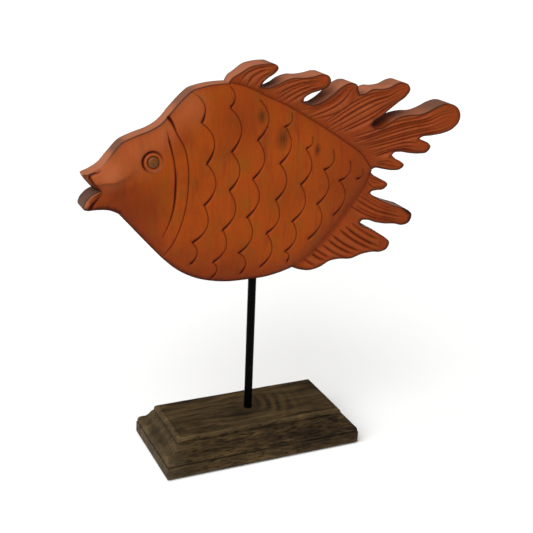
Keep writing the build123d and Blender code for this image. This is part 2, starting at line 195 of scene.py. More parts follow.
# Heights between which the chest rounds off, and between which the painted highlight on the rays' ridges grows
# stronger
CHEST_SHARES = [(0, 0.25), (0, 0.55)]
RIDGE_HIGHLIGHT_SHARES = [(0, 0.45), (0, 0.62)]
# Weight of a scale's line at its upper and its lower end
SCALE_WEIGHTS = (0.62, 1.47)
# Where a ray is set out between the two edges of its lobe, and its weight along its length
RAY_STOPS = [0.28, 0.52, 0.74, 0.93]
RAY_WEIGHTS = ([0, 0.15, 0.7, 1], [0.5, 0.95, 1.0, 0.3])
# Chances of a ray: how far it is shifted between its neighbours, where it starts and ends, and how deep it is
RAY_SHIFT, RAY_START, RAY_END, RAY_CUT = (-0.18, 0.18), (0, 0.12), (0.86, 1), (0.7, 1.2)
# Bow of the rays of the last lobe, and how much deeper they are
LAST_RAY_BOW, LAST_RAY_CUT = -0.06, 1.2
# Shares of the head's carving: where the snout's roll dies away along its edge, how much the lower lip narrows
# and where its rounding starts, where each lip rises along its edge, and how far the upper lip is cut back
ROLL_FADE = (0.45, 1.0)
LIP_TAPER, LIP_ROUND = 0.85, 0.6
LIP_START, SLANT_START = (-0.05, 0.35), (0, 0.2)
SLANT_CUT = 0.7
# Place across the snout's edge, in metres, where the hollow cheek turns into the roll
ROLL_EDGE = (-1.6 * MM, 0.8 * MM)
# Depth of the groove round the eye, and how much it changes from one side to the other; the groove's dark stain
# follows it, as painted shade on the forehead side
GROOVE_MEAN, GROOVE_SWING = 0.56, 0.48
# How dark the eye's groove and joint, the painted shade along the roots of the fins, and the chin's face and edge
# are
GROOVE_STAIN, JOINT_STAIN, ROOT_SHADE, CHIN_STAIN, CHIN_EDGE_STAIN = 1.3, 0.6, 0.5, 0.9, 0.85
# How strong the painted shade along the rim is at the back and at the belly
RIM_SHADE = (0.45, 1.0)
# How much of the arris is rubbed down, and how wide its dark wax is: least, and on the edges facing down to the
# right, where it is widened with painted shade
ARRIS_DROP = 0.55
WAX_AND_SHADE_WIDTHS = (0.75, 1.8)
# How much wax the rubbed snout lost, and how much the waxed tip holds
SNOUT_LOSS, TIP_WAX = 0.9, 1.6
# Directions round the eye, in its own plane: where its groove is deepest and darkest with painted shade, and where
# its ring has a painted highlight
GROOVE_SHADE_TURN = math.radians(135)
HIGHLIGHT_TURN = math.radians(-55)
# Direction of the edges whose dark wax is widened with painted shade, and the shares of the board's edge where it
# has points
SHADED_EDGE_DIRECTION = (0.6, -0.8)
WALL_SHARES = [0.03, 0.1, 0.25, 0.5, 0.75, 0.9, 0.97]

# How closely points are set on the board's face, in millimetres unless they are shares
EYE_RING_RADII = [0, 2, 3.8, 5.0, 5.5, 6.1, 6.8, 7.5, 8.1, 8.6, 9.1, 9.6, 10.2, 11.2]
EYE_RING_POINTS = 6  # For each millimetre of radius
ROOT_ROWS = (0.9, -1.0)  # Rows of points on the two sides of the body's outline
ARRIS_ROWS = (0.5, 1.0)  # Shares of the rubbed edge
CUT_ROWS = (0.45, 0.95, 1.6, 2.3)  # Rows of points on each side of a carved line
LINE_ROOM, GRID_ROOM = 0.42, 0.62  # Least distance between points, as a share of their step
GRID_RISE = 0.87  # Height of a row of the grid, as a share of its step
CURVE_STEPS, BOW_STEPS = 24, 40  # Points worked out along one span of a line, and along a bow
KEEP_INSIDE, MERGE_ROOM = 1, 1e-7  # Triangles inside the outline, from points that merge if nearer, in metres
SAME_PLACE = 0.02 * MM  # Points this near to the body's outline, in metres, are on it
CHUNK = 1500  # Points measured at a time, so that the arrays stay small
TURNED_SIDES = 40  # Sides of what is turned or drilled
DRILL_RUN = 2 * MM  # How far a drill runs out of the wood
# Angles past which an edge is left sharp
FISH_CREASE, PLUG_CREASE, PLINTH_CREASE = math.radians(40), math.radians(50), math.radians(45)

# Along the fish, where the grey patches of its edge begin, and how far round the notch the edge is darkened as
# painted shade
PATCH_START = (-40 * MM, 10 * MM)
NOTCH_REACH = (10 * MM, 30 * MM)
# Noises of the fish's stain: size across and along the brush in millimetres, detail and roughness
STAIN_NOISES = {
    "brush": (2.4, 34, 6.0, 0.65), "cloud": (26, 26, 5.0, 0.5), "speck": (3, 3, 4.0, 0.5),
    "run": (7, 45, 4.0, 0.6), "blotch": (11, 22, 5.0, 0.6), "patch": (34, 34, 4.0, 0.5),
}
# Noises of the plinth's grain: size along and across it in millimetres, detail, roughness and distortion
GRAIN_NOISES = {
    "sway": (70, 22, 2.0, 0.5, 0.6), "cloud": (38, 38, 3.0, 0.5, 0.0), "fibre": (16, 1.6, 6.0, 0.7, 0.0),
    "pores": (10, 1.7, 4.0, 0.7, 0.0),
}


def linear(hex_colour):
    """Linear colour of an sRGB hex value."""
    channels = [int(hex_colour[start:start + 2], 16) / 255 for start in (1, 3, 5)]
    return [c / 12.92 if c <= 0.04045 else ((c + 0.055) / 1.055) ** 2.4 for c in channels] + [1.0]


def length_property(name, millimetres, text):
    """Length of the model, from millimetres."""
    return FloatProperty(name=name, description=text, default=millimetres * MM, unit="LENGTH", precision=5)


def colour_property(name, hex_colour, text):
    """Colour of a finish, from an sRGB hex value."""
    return FloatVectorProperty(name=name, description=text, size=4, subtype="COLOR", default=linear(hex_colour))


class CarvedFishSizes(bpy.types.PropertyGroup):
    """Sizes of the carved fish and its plinth."""

    pattern_length: length_property("Pattern Length", 400, "Length that the outline's shares are taken of")
    pattern_height: length_property("Pattern Height", 200, "Height that the outline's shares are taken of")
    bore_depth: length_property("Bore Depth", 45, "How far the rod goes into the fish")
    bore_play: length_property("Bore Play", 0.05, "Gap round the rod in its holes")
    crown_half: length_property("Crown", fish_high.y / MM - 0.1, "Half of the thickness at the middle of the body")
    dome_drop: length_property("Dome Drop", 1.8, "How far the body falls from its middle to its rim")
    dome_width: length_property("Dome Width", 70, "Width of the body's dome")
    rim_drop: length_property("Rim Drop", 2.2, "How far the body's rim rounds down")
    rim_width: length_property("Rim Width", 16, "Width of the rounding at the body's rim")
    chest_drop: length_property("Chest Drop", 2.0, "How much more the rim rounds down from chin to belly")
    chest_width: length_property("Chest Width", 25.6, "Width of the rounding from chin to belly")
    fin_root_half: length_property("Fin Root", 6.6, "Half of the thickness at the root of a fin")
    fin_flare: length_property("Fin Flare", 38, "Width over which a fin grows to its full thickness")
    notch_rise: length_property("Notch Rise", 2.5, "How much further the fin stands out round its deepest notch")
    notch_width: length_property("Notch Width", 13, "Width of the thicker place round that notch")
    roll_rise: length_property("Roll Rise", 2.2, "How far the snout's roll stands out")
    roll_width: length_property("Roll Width", 12, "Width over which the snout's roll dies away")
    cheek_drop: length_property("Cheek Drop", 1.0, "How far the cheek is hollowed below the roll")
    cheek_width: length_property("Cheek Width", 16, "Width over which the hollow of the cheek dies away")
    lip_width: length_property("Lip Width", 5.2, "Width of the lower lip")
    lip_half: length_property("Lip", 11.0, "Half of the thickness of the lower lip")
    lip_slant: length_property("Lip Slant", 1.9, "How far the upper lip is cut back")
    ring_radius: length_property("Eye Ring Radius", 6.9, "Radius of the ring round the eye")
    ring_half: length_property("Eye Ring Half", 1.5, "Half of the width of the ring round the eye")
    ring_rise: length_property("Eye Ring Rise", 0.9, "How far the ring round the eye stands out")
    # Painted highlight on the ring round the eye: the radius where it is strongest, and the width over which it
    # dies away
    ring_highlight_radius: length_property("Ring Highlight Radius", 8.4, "Radius at which the ring round the eye is rubbed pale")
    ring_highlight_width: length_property("Ring Highlight Width", 1.0, "Width over which the rubbed place dies away")
    groove_radius: length_property("Eye Groove Radius", 9.1, "Radius of the groove outside the ring")
    groove_half: length_property("Eye Groove Half", 1.6, "Half of the width of the groove outside the ring")
    groove_depth: length_property("Eye Groove Depth", 1.5, "Depth of the groove outside the ring")
    joint_radius: length_property("Eye Joint Radius", 5.3, "Radius of the joint round the eye's plug")
    joint_half: length_property("Eye Joint Half", 0.5, "Half of the width of the joint round the eye's plug")
    joint_depth: length_property("Eye Joint Depth", 0.5, "Depth of the joint round the eye's plug")
    swell: length_property("Swell", 1.0, "How far the sanded edge stands out from the sawing line")
    swell_width: length_property("Swell Width", 5, "Width over which the swell of the edge dies away")
    arris: length_property("Arris", 1.1, "Width of the rubbed edge round the board")
    # Width of the painted shade along the roots of the fins
    root_shade_width: length_property("Root Shade Width", 1.5, "Width of the dark line along the roots of the fins")
    # Width of the painted shade along the body's rim
    rim_shade_width: length_property("Rim Shade Width", 11, "Width over which the stain pooled along the rim")
    bare_width: length_property("Bare Width", 11, "Width of the bare place on the snout's edge")
    tip_width: length_property("Tip Width", 10, "Width of the waxed tip of the lower fin")
    tip_edge: length_property("Tip Edge", 2.4, "Width of the wax along that tip's edge")
    mouth_edge: length_property("Mouth Edge", 1.4, "Width of the wax along the mouth and the chin")
    scale_width: length_property("Scale Line Width", 2.7, "Width of the lines of the scales")
    scale_depth: length_property("Scale Line Depth", 1.2, "Depth of the lines of the scales")
    gill_width: length_property("Gill Line Width", 3.2, "Width of the gill lines")
    gill_depth: length_property("Gill Line Depth", 1.5, "Depth of the gill lines")
    ray_width: length_property("Ray Width", 4.2, "Width of the gouged rays of the fins")
    ray_depth: length_property("Ray Depth", 1.3, "Depth of the gouged rays of the fins")
    mesh_step: length_property("Mesh Step", 2.6, "Spacing of points on the plain parts of a face")
    line_step: length_property("Line Step", 1.2, "Spacing of points along carved lines")
    plinth_step: length_property("Plinth Step", 2.5, "Spacing of points along the plinth")


class CarvedFishColours(bpy.types.PropertyGroup):
    """Colours of the finishes."""

    # The deep stain also colours the painted shade on the cheek and under the belly
    stain_deep: colour_property("Deep Stain", "#5A1F08", "Darkest brush marks of the fish's stain")
    stain_mid: colour_property("Stain", "#7D3007", "Main colour of the fish's stain")
    stain_light: colour_property("Light Stain", "#92410D", "Rubbed brush marks of the fish's stain")
    # The red stain also colours the painted shade along the rim and on the upper lip's slant
    stain_red: colour_property("Red Stain", "#602312", "Stain that pooled along the rim and on the fins")
    stain_olive: colour_property("Brown Stain", "#75400B", "Brown blotches of the fish's stain")
    # Sawn edges: paler, partly from thin stain and partly as painted sheen
    edge_stain_and_sheen: colour_property("Sawn Edge", "#875037", "Sawn edges of the fish, where the stain is thin")
    stain_worn: colour_property("Worn Edge", "#4A362C", "Grey patches of the sawn edges")
    stain_groove: colour_property("Groove", "#370A05", "Dark red stain left in the carved lines")
    # Painted highlight and sheen: on the snout, the upper head, the lower lip, the ring round the eye and the
    # rays' ridges
    painted_highlight: colour_property("Painted Highlight", "#A05C3A", "Stain that was wiped thin on the snout and the ridges")
    # The edge wax also serves as painted shade along edges that face down to the right
    edge_wax: colour_property("Edge Wax", "#170D0A", "Black wax along the edges")
    smudge: colour_property("Smudge", "#241B0C", "Olive-black smudges")
    mouth_wax: colour_property("Mouth", "#362C27", "Grey-brown wax round the mouth")
    eye_stain: colour_property("Eye", "#5C3A14", "Plugs of the eyes")
    rod_paint: colour_property("Rod", "#010101", "Paint of the rod")
    rod_bare: colour_property("Bare Rod", "#4A4844", "Specks of the rod that are rubbed bare")
    plinth_dark: colour_property("Dark Grain", "#0F0B07", "Dark grain of the plinth")
    plinth_mid: colour_property("Plinth", "#221B12", "Main colour of the plinth")
    plinth_light: colour_property("Light Grain", "#5B472A", "Light grain of the plinth")
    plinth_pores: colour_property("Pores", "#0F0803", "Pores and wax of the plinth")
    # Paler left end of the plinth: painted light on its end grain
    plinth_lit_end: colour_property("Lit End", "#5F523B", "End grain of the plinth")
    plinth_worn: colour_property("Worn Plinth", "#6A5A42", "Rubbed edges of the plinth")
    steel_dark: colour_property("Dark Steel", "#8D8F90", "Darker specks of the screw and the washer")
    steel_light: colour_property("Steel", "#B9BABA", "Lines of the screw and the washer")
    felt_dark: colour_property("Dark Felt", "#15140F", "Depth of the felt's nap")
    felt_light: colour_property("Felt", "#34322A", "Ends of the felt's nap")
    floor: colour_property("Floor", "#DADAD9", "Floor of the studio")
    floor_light: colour_property("Light Floor", "#DEDEDD", "Lighter places of the studio's floor")


def add_node(tree, kind, inputs=None, **settings):
    """Add a node with its settings, and set or link its inputs."""
    made = tree.nodes.new(kind)
    for name, value in settings.items():
        setattr(made, name, value)
    for key, value in (inputs or {}).items():
        if isinstance(value, bpy.types.Node):
            value = next(socket for socket in value.outputs if socket.enabled)
        if isinstance(value, bpy.types.NodeSocket):
            tree.links.new(value, made.inputs[key])
        else:
            made.inputs[key].default_value = value
    return made


def new_material(name):
    """Material with nothing but its shader: the material, its tree, its shader and Object coordinates."""
    material = bpy.data.materials.new(name)
    material.use_nodes = True
    tree = material.node_tree
    shader = tree.nodes["Principled BSDF"]
    place = add_node(tree, "ShaderNodeTexCoord").outputs["Object"]
    return material, tree, shader, place


def join_finish(tree, shader, colour, grain, roughness, height, strength, depth):
    """Join a finish to its shader: its colour, a roughness that follows its grain, and a height that stands up."""
    rough = add_node(tree, "ShaderNodeMapRange", {0: grain, 1: 0.3, 2: 0.7, 3: roughness[0], 4: roughness[1]})
    bump = add_node(tree, "ShaderNodeBump", {"Height": height, "Strength": strength, "Distance": depth})
    tree.links.new(colour.outputs[2], shader.inputs["Base Color"])
    tree.links.new(rough.outputs[0], shader.inputs["Roughness"])
    tree.links.new(bump.outputs[0], shader.inputs["Normal"])


def pattern_points(shares):
    """Points of the fish's plane from shares of its pattern."""
    sizes = bpy.context.scene.carved_fish_sizes
    belly = rod_high.z - sizes.bore_depth
    scale = np.array([sizes.pattern_length, sizes.pattern_height])
    return np.asarray(shares, float) * scale + np.array([0, belly])


def even_line(points, spacing):
    """The same line with evenly spaced points."""
    runs = np.linalg.norm(np.diff(points, axis=0), axis=1)
    walked = np.concatenate([[0], np.cumsum(runs)])
    count = max(2, int(round(walked[-1] / spacing)) + 1)
    stops = np.linspace(0, walked[-1], count)
    return np.column_stack([np.interp(stops, walked, points[:, axis]) for axis in (0, 1)])


def smooth_line(points, spacing):
    """Evenly spaced points along a smooth line through the given points."""
    points = np.asarray(points, float)
    steps = np.diff(points, axis=0)
    runs = np.linalg.norm(steps, axis=1)[:, None]
    slopes = steps / runs
    tangents = np.vstack([slopes[:1], slopes])
    if len(points) > 2:
        tangents[1:-1] = (slopes[:-1] * runs[1:] + slopes[1:] * runs[:-1]) / (runs[1:] + runs[:-1])
        tangents[0] = 1.5 * slopes[0] - 0.5 * tangents[1]
        tangents[-1] = 1.5 * slopes[-1] - 0.5 * tangents[-2]
    t = np.linspace(0, 1, CURVE_STEPS, endpoint=False)[:, None]
    fine = [points[-1:]]
    for index in reversed(range(len(runs))):
        fine.insert(0, (
            (2 * t**3 - 3 * t**2 + 1) * points[index] + (t**3 - 2 * t**2 + t) * runs[index] * tangents[index]
            + (3 * t**2 - 2 * t**3) * points[index + 1] + (t**3 - t**2) * runs[index] * tangents[index + 1]
        ))
    return even_line(np.vstack(fine), spacing)


def bowed_line(start, end, bulge_share, spacing):
    """Line between two points that bows to the left of its direction."""
    chord = end - start
    t = np.linspace(0, 1, BOW_STEPS)[:, None]
    bow = 4 * bulge_share * t * (1 - t) * np.array([-chord[1], chord[0]])
    return even_line(start + chord * t + bow, spacing)


def soft_step(value, low, high):
    """0 below low and 1 above high, with a smooth rise between them."""
    share = np.clip((value - low) / (high - low), 0, 1)
    return share * share * (3 - 2 * share)


def rounding(distance, width):
    """1 at an edge and 0 at a width from it, as a rounded edge falls."""
    return (1 - np.clip(distance / width, 0, 1)) ** 2


def falloff(distance, width):
    """1 at no distance, dying away softly over the width."""
    return np.exp(-((distance / width) ** 2))


def nearest_run(points, starts, runs):
    """For each point: its distance from the nearest of some straight runs, which run that is, the share along it,
    and the side of it, 1 on the left."""
    squares = (runs**2).sum(axis=1)
    found = []
    for first in range(0, len(points), CHUNK):
        gap = points[first:first + CHUNK, None, :] - starts
        share = np.clip((gap * runs).sum(axis=2) / squares, 0, 1)
        gap -= share[:, :, None] * runs
        distance = np.hypot(gap[:, :, 0], gap[:, :, 1])
        best = distance.argmin(axis=1)
        rows = np.arange(len(best))
        turn = runs[best, 0] * gap[rows, best, 1] - runs[best, 1] * gap[rows, best, 0]
        found.append(np.column_stack([distance[rows, best], best, share[rows, best], np.sign(turn)]))
    distance, best, share, side = np.vstack(found).T
    return distance, best.astype(int), share, side


def near_line(points, line):
    """Distance from each point to a line, the share along it, and its side: 1 on the left."""
    runs = np.diff(line, axis=0)
    distance, best, share, side = nearest_run(points, line[:-1], runs)
    return distance, (best + share) / len(runs), side


def inside_loop(points, loop):
    """Which points lie inside a closed line."""
    start_x, start_z = loop.T
    end_x, end_z = np.roll(loop, -1, axis=0).T
    rise = np.where(end_z == start_z, 1, end_z - start_z)
    inside = []
    for first in range(0, len(points), CHUNK):
        x, z = points[first:first + CHUNK].T[:, :, None]
        crosses = (start_z > z) != (end_z > z)
        reach = start_x + (z - start_z) * (end_x - start_x) / rise
        inside.append(((crosses & (x < reach)).sum(axis=1) % 2) == 1)
    return np.concatenate(inside)


def joined_loop(pieces):
    """One closed line from lines that meet end to end."""
    return np.vstack([piece[:-1] for piece in pieces])


def round_trip(loop):
    """A closed line with its first point again at its end."""
    return np.vstack([loop, loop[:1]])


def thinned(candidates, kept, room):
    """Candidates that keep a distance from the kept points and from each other."""
    cells = {}
    for point in kept:
        cells.setdefault((int(point[0] // room), int(point[1] // room)), []).append(point)
    chosen = []
    for point in candidates:
        column, row = int(point[0] // room), int(point[1] // room)
        near = [
            other
            for across in (column - 1, column, column + 1)
            for up in (row - 1, row, row + 1)
            for other in cells.get((across, up), ())
        ]
        if all(math.dist(point, other) >= room for other in near):
            cells.setdefault((column, row), []).append(point)
            chosen.append(point)
    return np.array(chosen).reshape(-1, 2)


def beside(line, offset):
    """The line moved to its left by an offset."""
    along = np.gradient(line, axis=0)
    along /= np.linalg.norm(along, axis=1)[:, None]
    return line + offset * np.column_stack([-along[:, 1], along[:, 0]])


def fish_loops(spacing):
    """Closed outlines of the body and of the two fins."""
    body_parts = [HEAD_TOP_SHARES, BACK_ROOT_SHARES, BELLY_ROOT_SHARES, BELLY_SHARES]
    body_parts += [CHIN_SHARES, LOWER_LIP_SHARES, UPPER_LIP_SHARES]
    loops = [joined_loop([smooth_line(pattern_points(shares), spacing) for shares in body_parts])]
    fins = [(BACK_FIN_LOBE_SHARES, BACK_FIN_INNER_SHARE), (BELLY_FIN_LOBE_SHARES, BELLY_FIN_INNER_SHARE)]
    for lobes, inner_share in fins:
        edges = [smooth_line(pattern_points(shares), spacing) for shares in lobes]
        inner = pattern_points([inner_share])[0]
        for start, end in ((edges[-1][-1], inner), (inner, edges[0][0])):
            edges.append(even_line(np.array([start, end]), 4 * spacing))
        loops.append(joined_loop(edges))
    return loops


def scale_lines(spacing):
    """Lines of the scales, each cut deepest at its lower end."""
    lines = []
    for shares in SCALE_COLUMN_SHARES:
        cusps = pattern_points(shares)
        for upper, lower in zip(cusps, cusps[1:]):
            line = bowed_line(upper, lower, SCALE_BULGE_SHARE, spacing)
            down = soft_step(np.linspace(0, 1, len(line)), 0.5, 1)
            lines.append((line, np.interp(down, (0, 1), SCALE_WEIGHTS)))
    return lines


def gill_lines(spacing):
    """Gill lines and the creases of the mouth, with the weight of each cut."""
    cuts = [
        (OUTER_GILL_SHARES, [0.0, 0.03, 0.12, 0.25, 1.0], [1.9, 1.6, 0.8, 0.7, 0.6]),
        (INNER_GILL_SHARES, [0.0, 0.08, 0.3, 0.55, 0.8, 1.0], [0.3, 1.0, 0.8, 1.15, 0.85, 0.4]),
        (LIP_CREASE_SHARES, [0.0, 0.35, 0.7, 1.0], [0.25, 0.9, 1.4, 1.7]),
        (LIP_EDGE_SHARES, [0.0, 0.35, 0.7, 1.0], [1.3, 1.1, 0.7, 0.4]),
        (LIP_NOTCH_SHARES, [0.0, 0.5, 1.0], [1.2, 0.9, 0.4]),
    ]
    lines = []
    for shares, stops, weights in cuts:
        line = smooth_line(pattern_points(shares), spacing)
        lines.append((line, np.interp(np.linspace(0, 1, len(line)), stops, weights)))
    return lines


def ray_lines(spacing):
    """Rays of the fins, which run from the root and follow the two edges of their lobe to its tip.
    Those of the last lobe all run the same way instead, and are cut deeper."""
    lines = []
    chance = random.Random(11)
    lobes = BACK_FIN_LOBE_SHARES + BELLY_FIN_LOBE_SHARES
    belly_fin = fish_loops(spacing)[-1]
    last_way = np.diff(pattern_points(LAST_RAY_SHARES), axis=0)
    for shares, tip, count, roots in zip(lobes, LOBE_TIPS, RAY_COUNTS, RAY_ROOT_SHARES):
        last = shares is lobes[-1]
        edge = pattern_points(shares)
        sides = [smooth_line(edge[:tip + 1], spacing), smooth_line(edge[tip:][::-1], spacing)]
        upper, lower = [
            np.column_stack([np.interp(RAY_STOPS, np.linspace(0, 1, len(side)), side[:, axis]) for axis in (0, 1)])
            for side in sides
        ]
        first_root, last_root = pattern_points(roots)
        for index in range(count):
            share = (index + 0.6 + chance.uniform(*RAY_SHIFT)) / (count + 0.2)
            root = first_root + (last_root - first_root) * share
            if last:
                path = root + last_way * np.linspace(0, 4, 120)[:, None]
                path = path[inside_loop(path, belly_fin)]
                line = bowed_line(path[0], path[-1], LAST_RAY_BOW, spacing)
            else:
                line = smooth_line(np.vstack([root, upper + (lower - upper) * share]), spacing)
            start, end = [int(chance.uniform(*limits) * len(line)) for limits in (RAY_START, RAY_END)]
            line = line[start:end]
            depth = chance.uniform(*RAY_CUT) * (LAST_RAY_CUT if last else 1)
            lines.append((line, depth * np.interp(np.linspace(0, 1, len(line)), *RAY_WEIGHTS)))
    return lines


def eye_centre():
    """Middle of the eyes in the fish's plane."""
    middle = (eye_low + eye_high) / 2
    return np.array([middle.x, middle.z])


def eye_rings():
    """Points on rings round the eye."""
    rings = []
    for radius in EYE_RING_RADII:
        turns = np.linspace(0, 2 * math.pi, max(1, int(radius * EYE_RING_POINTS)), endpoint=False)
        rings.append(eye_centre() + radius * MM * np.column_stack([np.cos(turns), np.sin(turns)]))
    return np.vstack(rings)


def board_layout(sizes, loops, cuts):
    """Triangles of the board's face, closer together along its edges and carved lines."""
    fixed, edges, faces = [], [], []
    for loop in loops:
        first = len(fixed)
        fixed.extend(loop)
        faces.append(list(range(first, first + len(loop)))[::-1])
    for line, _ in cuts:
        first = len(fixed)
        fixed.extend(line)
        edges.extend((index, index + 1) for index in range(first, first + len(line) - 1))
    rows = [eye_rings()] + [beside(round_trip(loops[0]), offset * MM) for offset in ROOT_ROWS]
    for loop in loops:
        rows += [beside(round_trip(loop), -share * sizes.arris) for share in ARRIS_ROWS]
    for line, _ in cuts:
        for offset in CUT_ROWS:
            rows += [beside(line, offset * MM), beside(line, -offset * MM)]
    kept = np.array(fixed)
    kept = np.vstack([kept, thinned(np.vstack(rows), kept, LINE_ROOM * sizes.line_step)])
    step = sizes.mesh_step
    low, high = kept.min(axis=0), kept.max(axis=0)
    across = np.arange(low[0], high[0], step)
    up = np.arange(low[1], high[1], step * GRID_RISE)
    grid = np.array([(x + 0.5 * step * (row % 2), z) for row, z in enumerate(up) for x in across])
    kept = np.vstack([kept, thinned(grid, kept, GRID_ROOM * step)])
    within = np.any([inside_loop(kept, loop) for loop in loops], axis=0)
    within[:len(fixed)] = True
    made = delaunay_2d_cdt([Vector(point) for point in kept[within]], edges, faces, KEEP_INSIDE, MERGE_ROOM, True)
    points = np.array([point[:] for point in made[0]])
    triangles = np.array([face for face, source in zip(made[2], made[5]) if source])
    corners = points[triangles]
    first, second = corners[:, 1] - corners[:, 0], corners[:, 2] - corners[:, 0]
    backward = first[:, 0] * second[:, 1] < first[:, 1] * second[:, 0]
    triangles[backward] = triangles[backward][:, ::-1]
    used, triangles = np.unique(triangles, return_inverse=True)
    return points[used], triangles.reshape(-1, 3)


def border_edges(triangles, count):
    """Edges that only one triangle has, in that triangle's direction."""
    starts = triangles.ravel()
    ends = np.roll(triangles, -1, axis=1).ravel()
    lonely = ~np.isin(starts * count + ends, ends * count + starts)
    return np.column_stack([starts[lonely], ends[lonely]])


def border_distance(points, border):
    """Distance from each point to the nearest place of the border, and which way the border faces there."""
    starts = points[border[:, 0]]
    runs = points[border[:, 1]] - starts
    outward = np.zeros_like(points)
    for end in (0, 1):
        np.add.at(outward, border[:, end], np.column_stack([runs[:, 1], -runs[:, 0]]))
    distance, best, share, _ = nearest_run(points, starts, runs)
    share = share[:, None]
    facing = outward[border[best, 0]] * (1 - share) + outward[border[best, 1]] * share
    return distance, facing / np.linalg.norm(facing, axis=1)[:, None]


def snout_rise(sizes, points):
    """How far the snout's upper roll stands over the hollow cheek at each point."""
    edge = smooth_line(pattern_points(SNOUT_EDGE_SHARES), sizes.line_step)
    distance, along, side = near_line(points, edge)
    above = distance * side
    roll = sizes.roll_rise * np.exp(-np.abs(above) / sizes.roll_width)
    hollow = -sizes.cheek_drop * np.exp(-np.abs(above) / sizes.cheek_width)
    rise = hollow + (roll - hollow) * soft_step(above, *ROLL_EDGE)
    return rise * (1 - soft_step(along, *ROLL_FADE))


def lip_shares(sizes, points):
    """How much of each point is the lower lip, which stands proud of the cheek, and how much is the upper lip,
    which is cut back to a slant."""
    lower, upper = [
        smooth_line(pattern_points(shares), sizes.line_step) for shares in (LOWER_LIP_SHARES, UPPER_LIP_SHARES)
    ]
    distance, along, _ = near_line(points, lower)
    width = sizes.lip_width * (1 - LIP_TAPER * along**4)
    lip = (1 - soft_step(distance, LIP_ROUND * width, width)) * soft_step(along, *LIP_START)
    distance, along, _ = near_line(points, upper)
    slant = (1 - np.clip(distance / sizes.lip_slant, 0, 1)) * soft_step(along, *SLANT_START)
    return lip, slant


def eye_ring(sizes, points):
    """Rise of the ring round the eye at each point, how dark its cuts are, with painted shade on the forehead side
    of the groove, and where the ring has a painted highlight.
    """
    arm = points - eye_centre()
    radius = np.hypot(arm[:, 0], arm[:, 1])
    turn = np.arctan2(arm[:, 1], arm[:, 0])
    # The groove is deepest towards the forehead, and its stain is darkest there as painted shade
    deep = GROOVE_MEAN + GROOVE_SWING * np.cos(turn - GROOVE_SHADE_TURN)
    groove = deep * np.clip(1 - np.abs(radius - sizes.groove_radius) / sizes.groove_half, 0, 1)
    ring = np.sqrt(np.clip(1 - ((radius - sizes.ring_radius) / sizes.ring_half) ** 2, 0, 1))
    joint = np.clip(1 - np.abs(radius - sizes.joint_radius) / sizes.joint_half, 0, 1)
    rise = sizes.ring_rise * ring - sizes.groove_depth * groove - sizes.joint_depth * joint
    # Painted highlight on the lower right of the ring
    rubbed = falloff(radius - sizes.ring_highlight_radius, sizes.ring_highlight_width) * np.clip(np.cos(turn - HIGHLIGHT_TURN), 0, 1)
    return rise, np.maximum(GROOVE_STAIN * groove, JOINT_STAIN * joint), rubbed


def relief(sizes, points, body, rim):
    """Half of the board's thickness at each point, how far the front is cut back there, and the marks of its face:
    how dark the cuts are, with painted shade along the roots of the fins, what is fin or lip, where shade is
    painted along the rim and on the upper lip's slant, and where the ring round the eye has a painted highlight."""
    gap = near_line(points, round_trip(body))[0]
    on_body = inside_loop(points, body) | (gap < SAME_PLACE)
    low_share = 1 - soft_step(points[:, 1], *pattern_points(CHEST_SHARES)[:, 1])
    crown = sizes.crown_half - sizes.dome_drop * rounding(gap, sizes.dome_width)
    crown -= sizes.rim_drop * rounding(gap, sizes.rim_width)
    crown -= sizes.chest_drop * low_share * rounding(gap, sizes.chest_width)
    fin = sizes.crown_half - (sizes.crown_half - sizes.fin_root_half) * rounding(gap, sizes.fin_flare)
    notch = np.linalg.norm(points - pattern_points([NOTCH_SHARE]), axis=1)
    fin += sizes.notch_rise * falloff(notch, sizes.notch_width)
    half = np.where(on_body, crown, fin) + on_body * snout_rise(sizes, points)
    lip, slant = [on_body * share for share in lip_shares(sizes, points)]
    half += (sizes.lip_half - half) * lip
    ring, cut, rubbed = eye_ring(sizes, points)
    half += ring - ARRIS_DROP * sizes.arris * rounding(rim, sizes.arris)
    # Painted shade along the body's rim, strongest towards the belly
    pool = on_body * np.interp(low_share, (0, 1), RIM_SHADE) * np.exp(-gap / sizes.rim_shade_width) * (1 - lip)
    return half, slant, {
        # Dark cuts, and painted shade along the roots of the fins
        "stain": np.maximum(cut, ROOT_SHADE * ~on_body * falloff(gap, sizes.root_shade_width)),
        "fin_share": ~on_body,
        "pool": np.maximum(pool, slant > 0),
        "lip": lip,
        # Painted highlight on the ring round the eye
        "rubbed": rubbed,
    }


def new_piece(name, verts, faces):
    """Mesh object at the origin, in the scene's own collection."""
    mesh = bpy.data.meshes.new(name)
    mesh.from_pydata([tuple(vert) for vert in verts], [], [tuple(face) for face in faces])
    piece = bpy.data.objects.new(name, mesh)
    bpy.context.scene.collection.objects.link(piece)
    return piece


def set_attribute(mesh, name, values):
    """Give each point of a mesh a number under a name."""
    layer = mesh.attributes.new(name, "FLOAT", "POINT")
    layer.data.foreach_set("value", np.asarray(values, np.float32))


def board_mesh(front, back, triangles, border):
    """Closed mesh of the board's two faces and of its sawn edge."""
    count = len(front)
    verts = [front, back]
    faces = [tuple(face) for face in triangles] + [tuple(face[::-1] + count) for face in triangles]
    edge_points = np.unique(border)
    ring_index = np.full(count, -1)
    ring_index[edge_points] = np.arange(len(edge_points))
    rows = [np.arange(count)]
    for row, share in enumerate(WALL_SHARES):
        verts.append(front[edge_points] + (back[edge_points] - front[edge_points]) * share)
        rows.append(2 * count + row * len(edge_points) + ring_index)
    rows.append(np.arange(count) + count)
    for upper, lower in zip(rows, rows[1:]):
        faces += [(upper[a], lower[a], lower[b], upper[b]) for a, b in border]
    return new_piece("carved_fish", np.vstack(verts), faces)


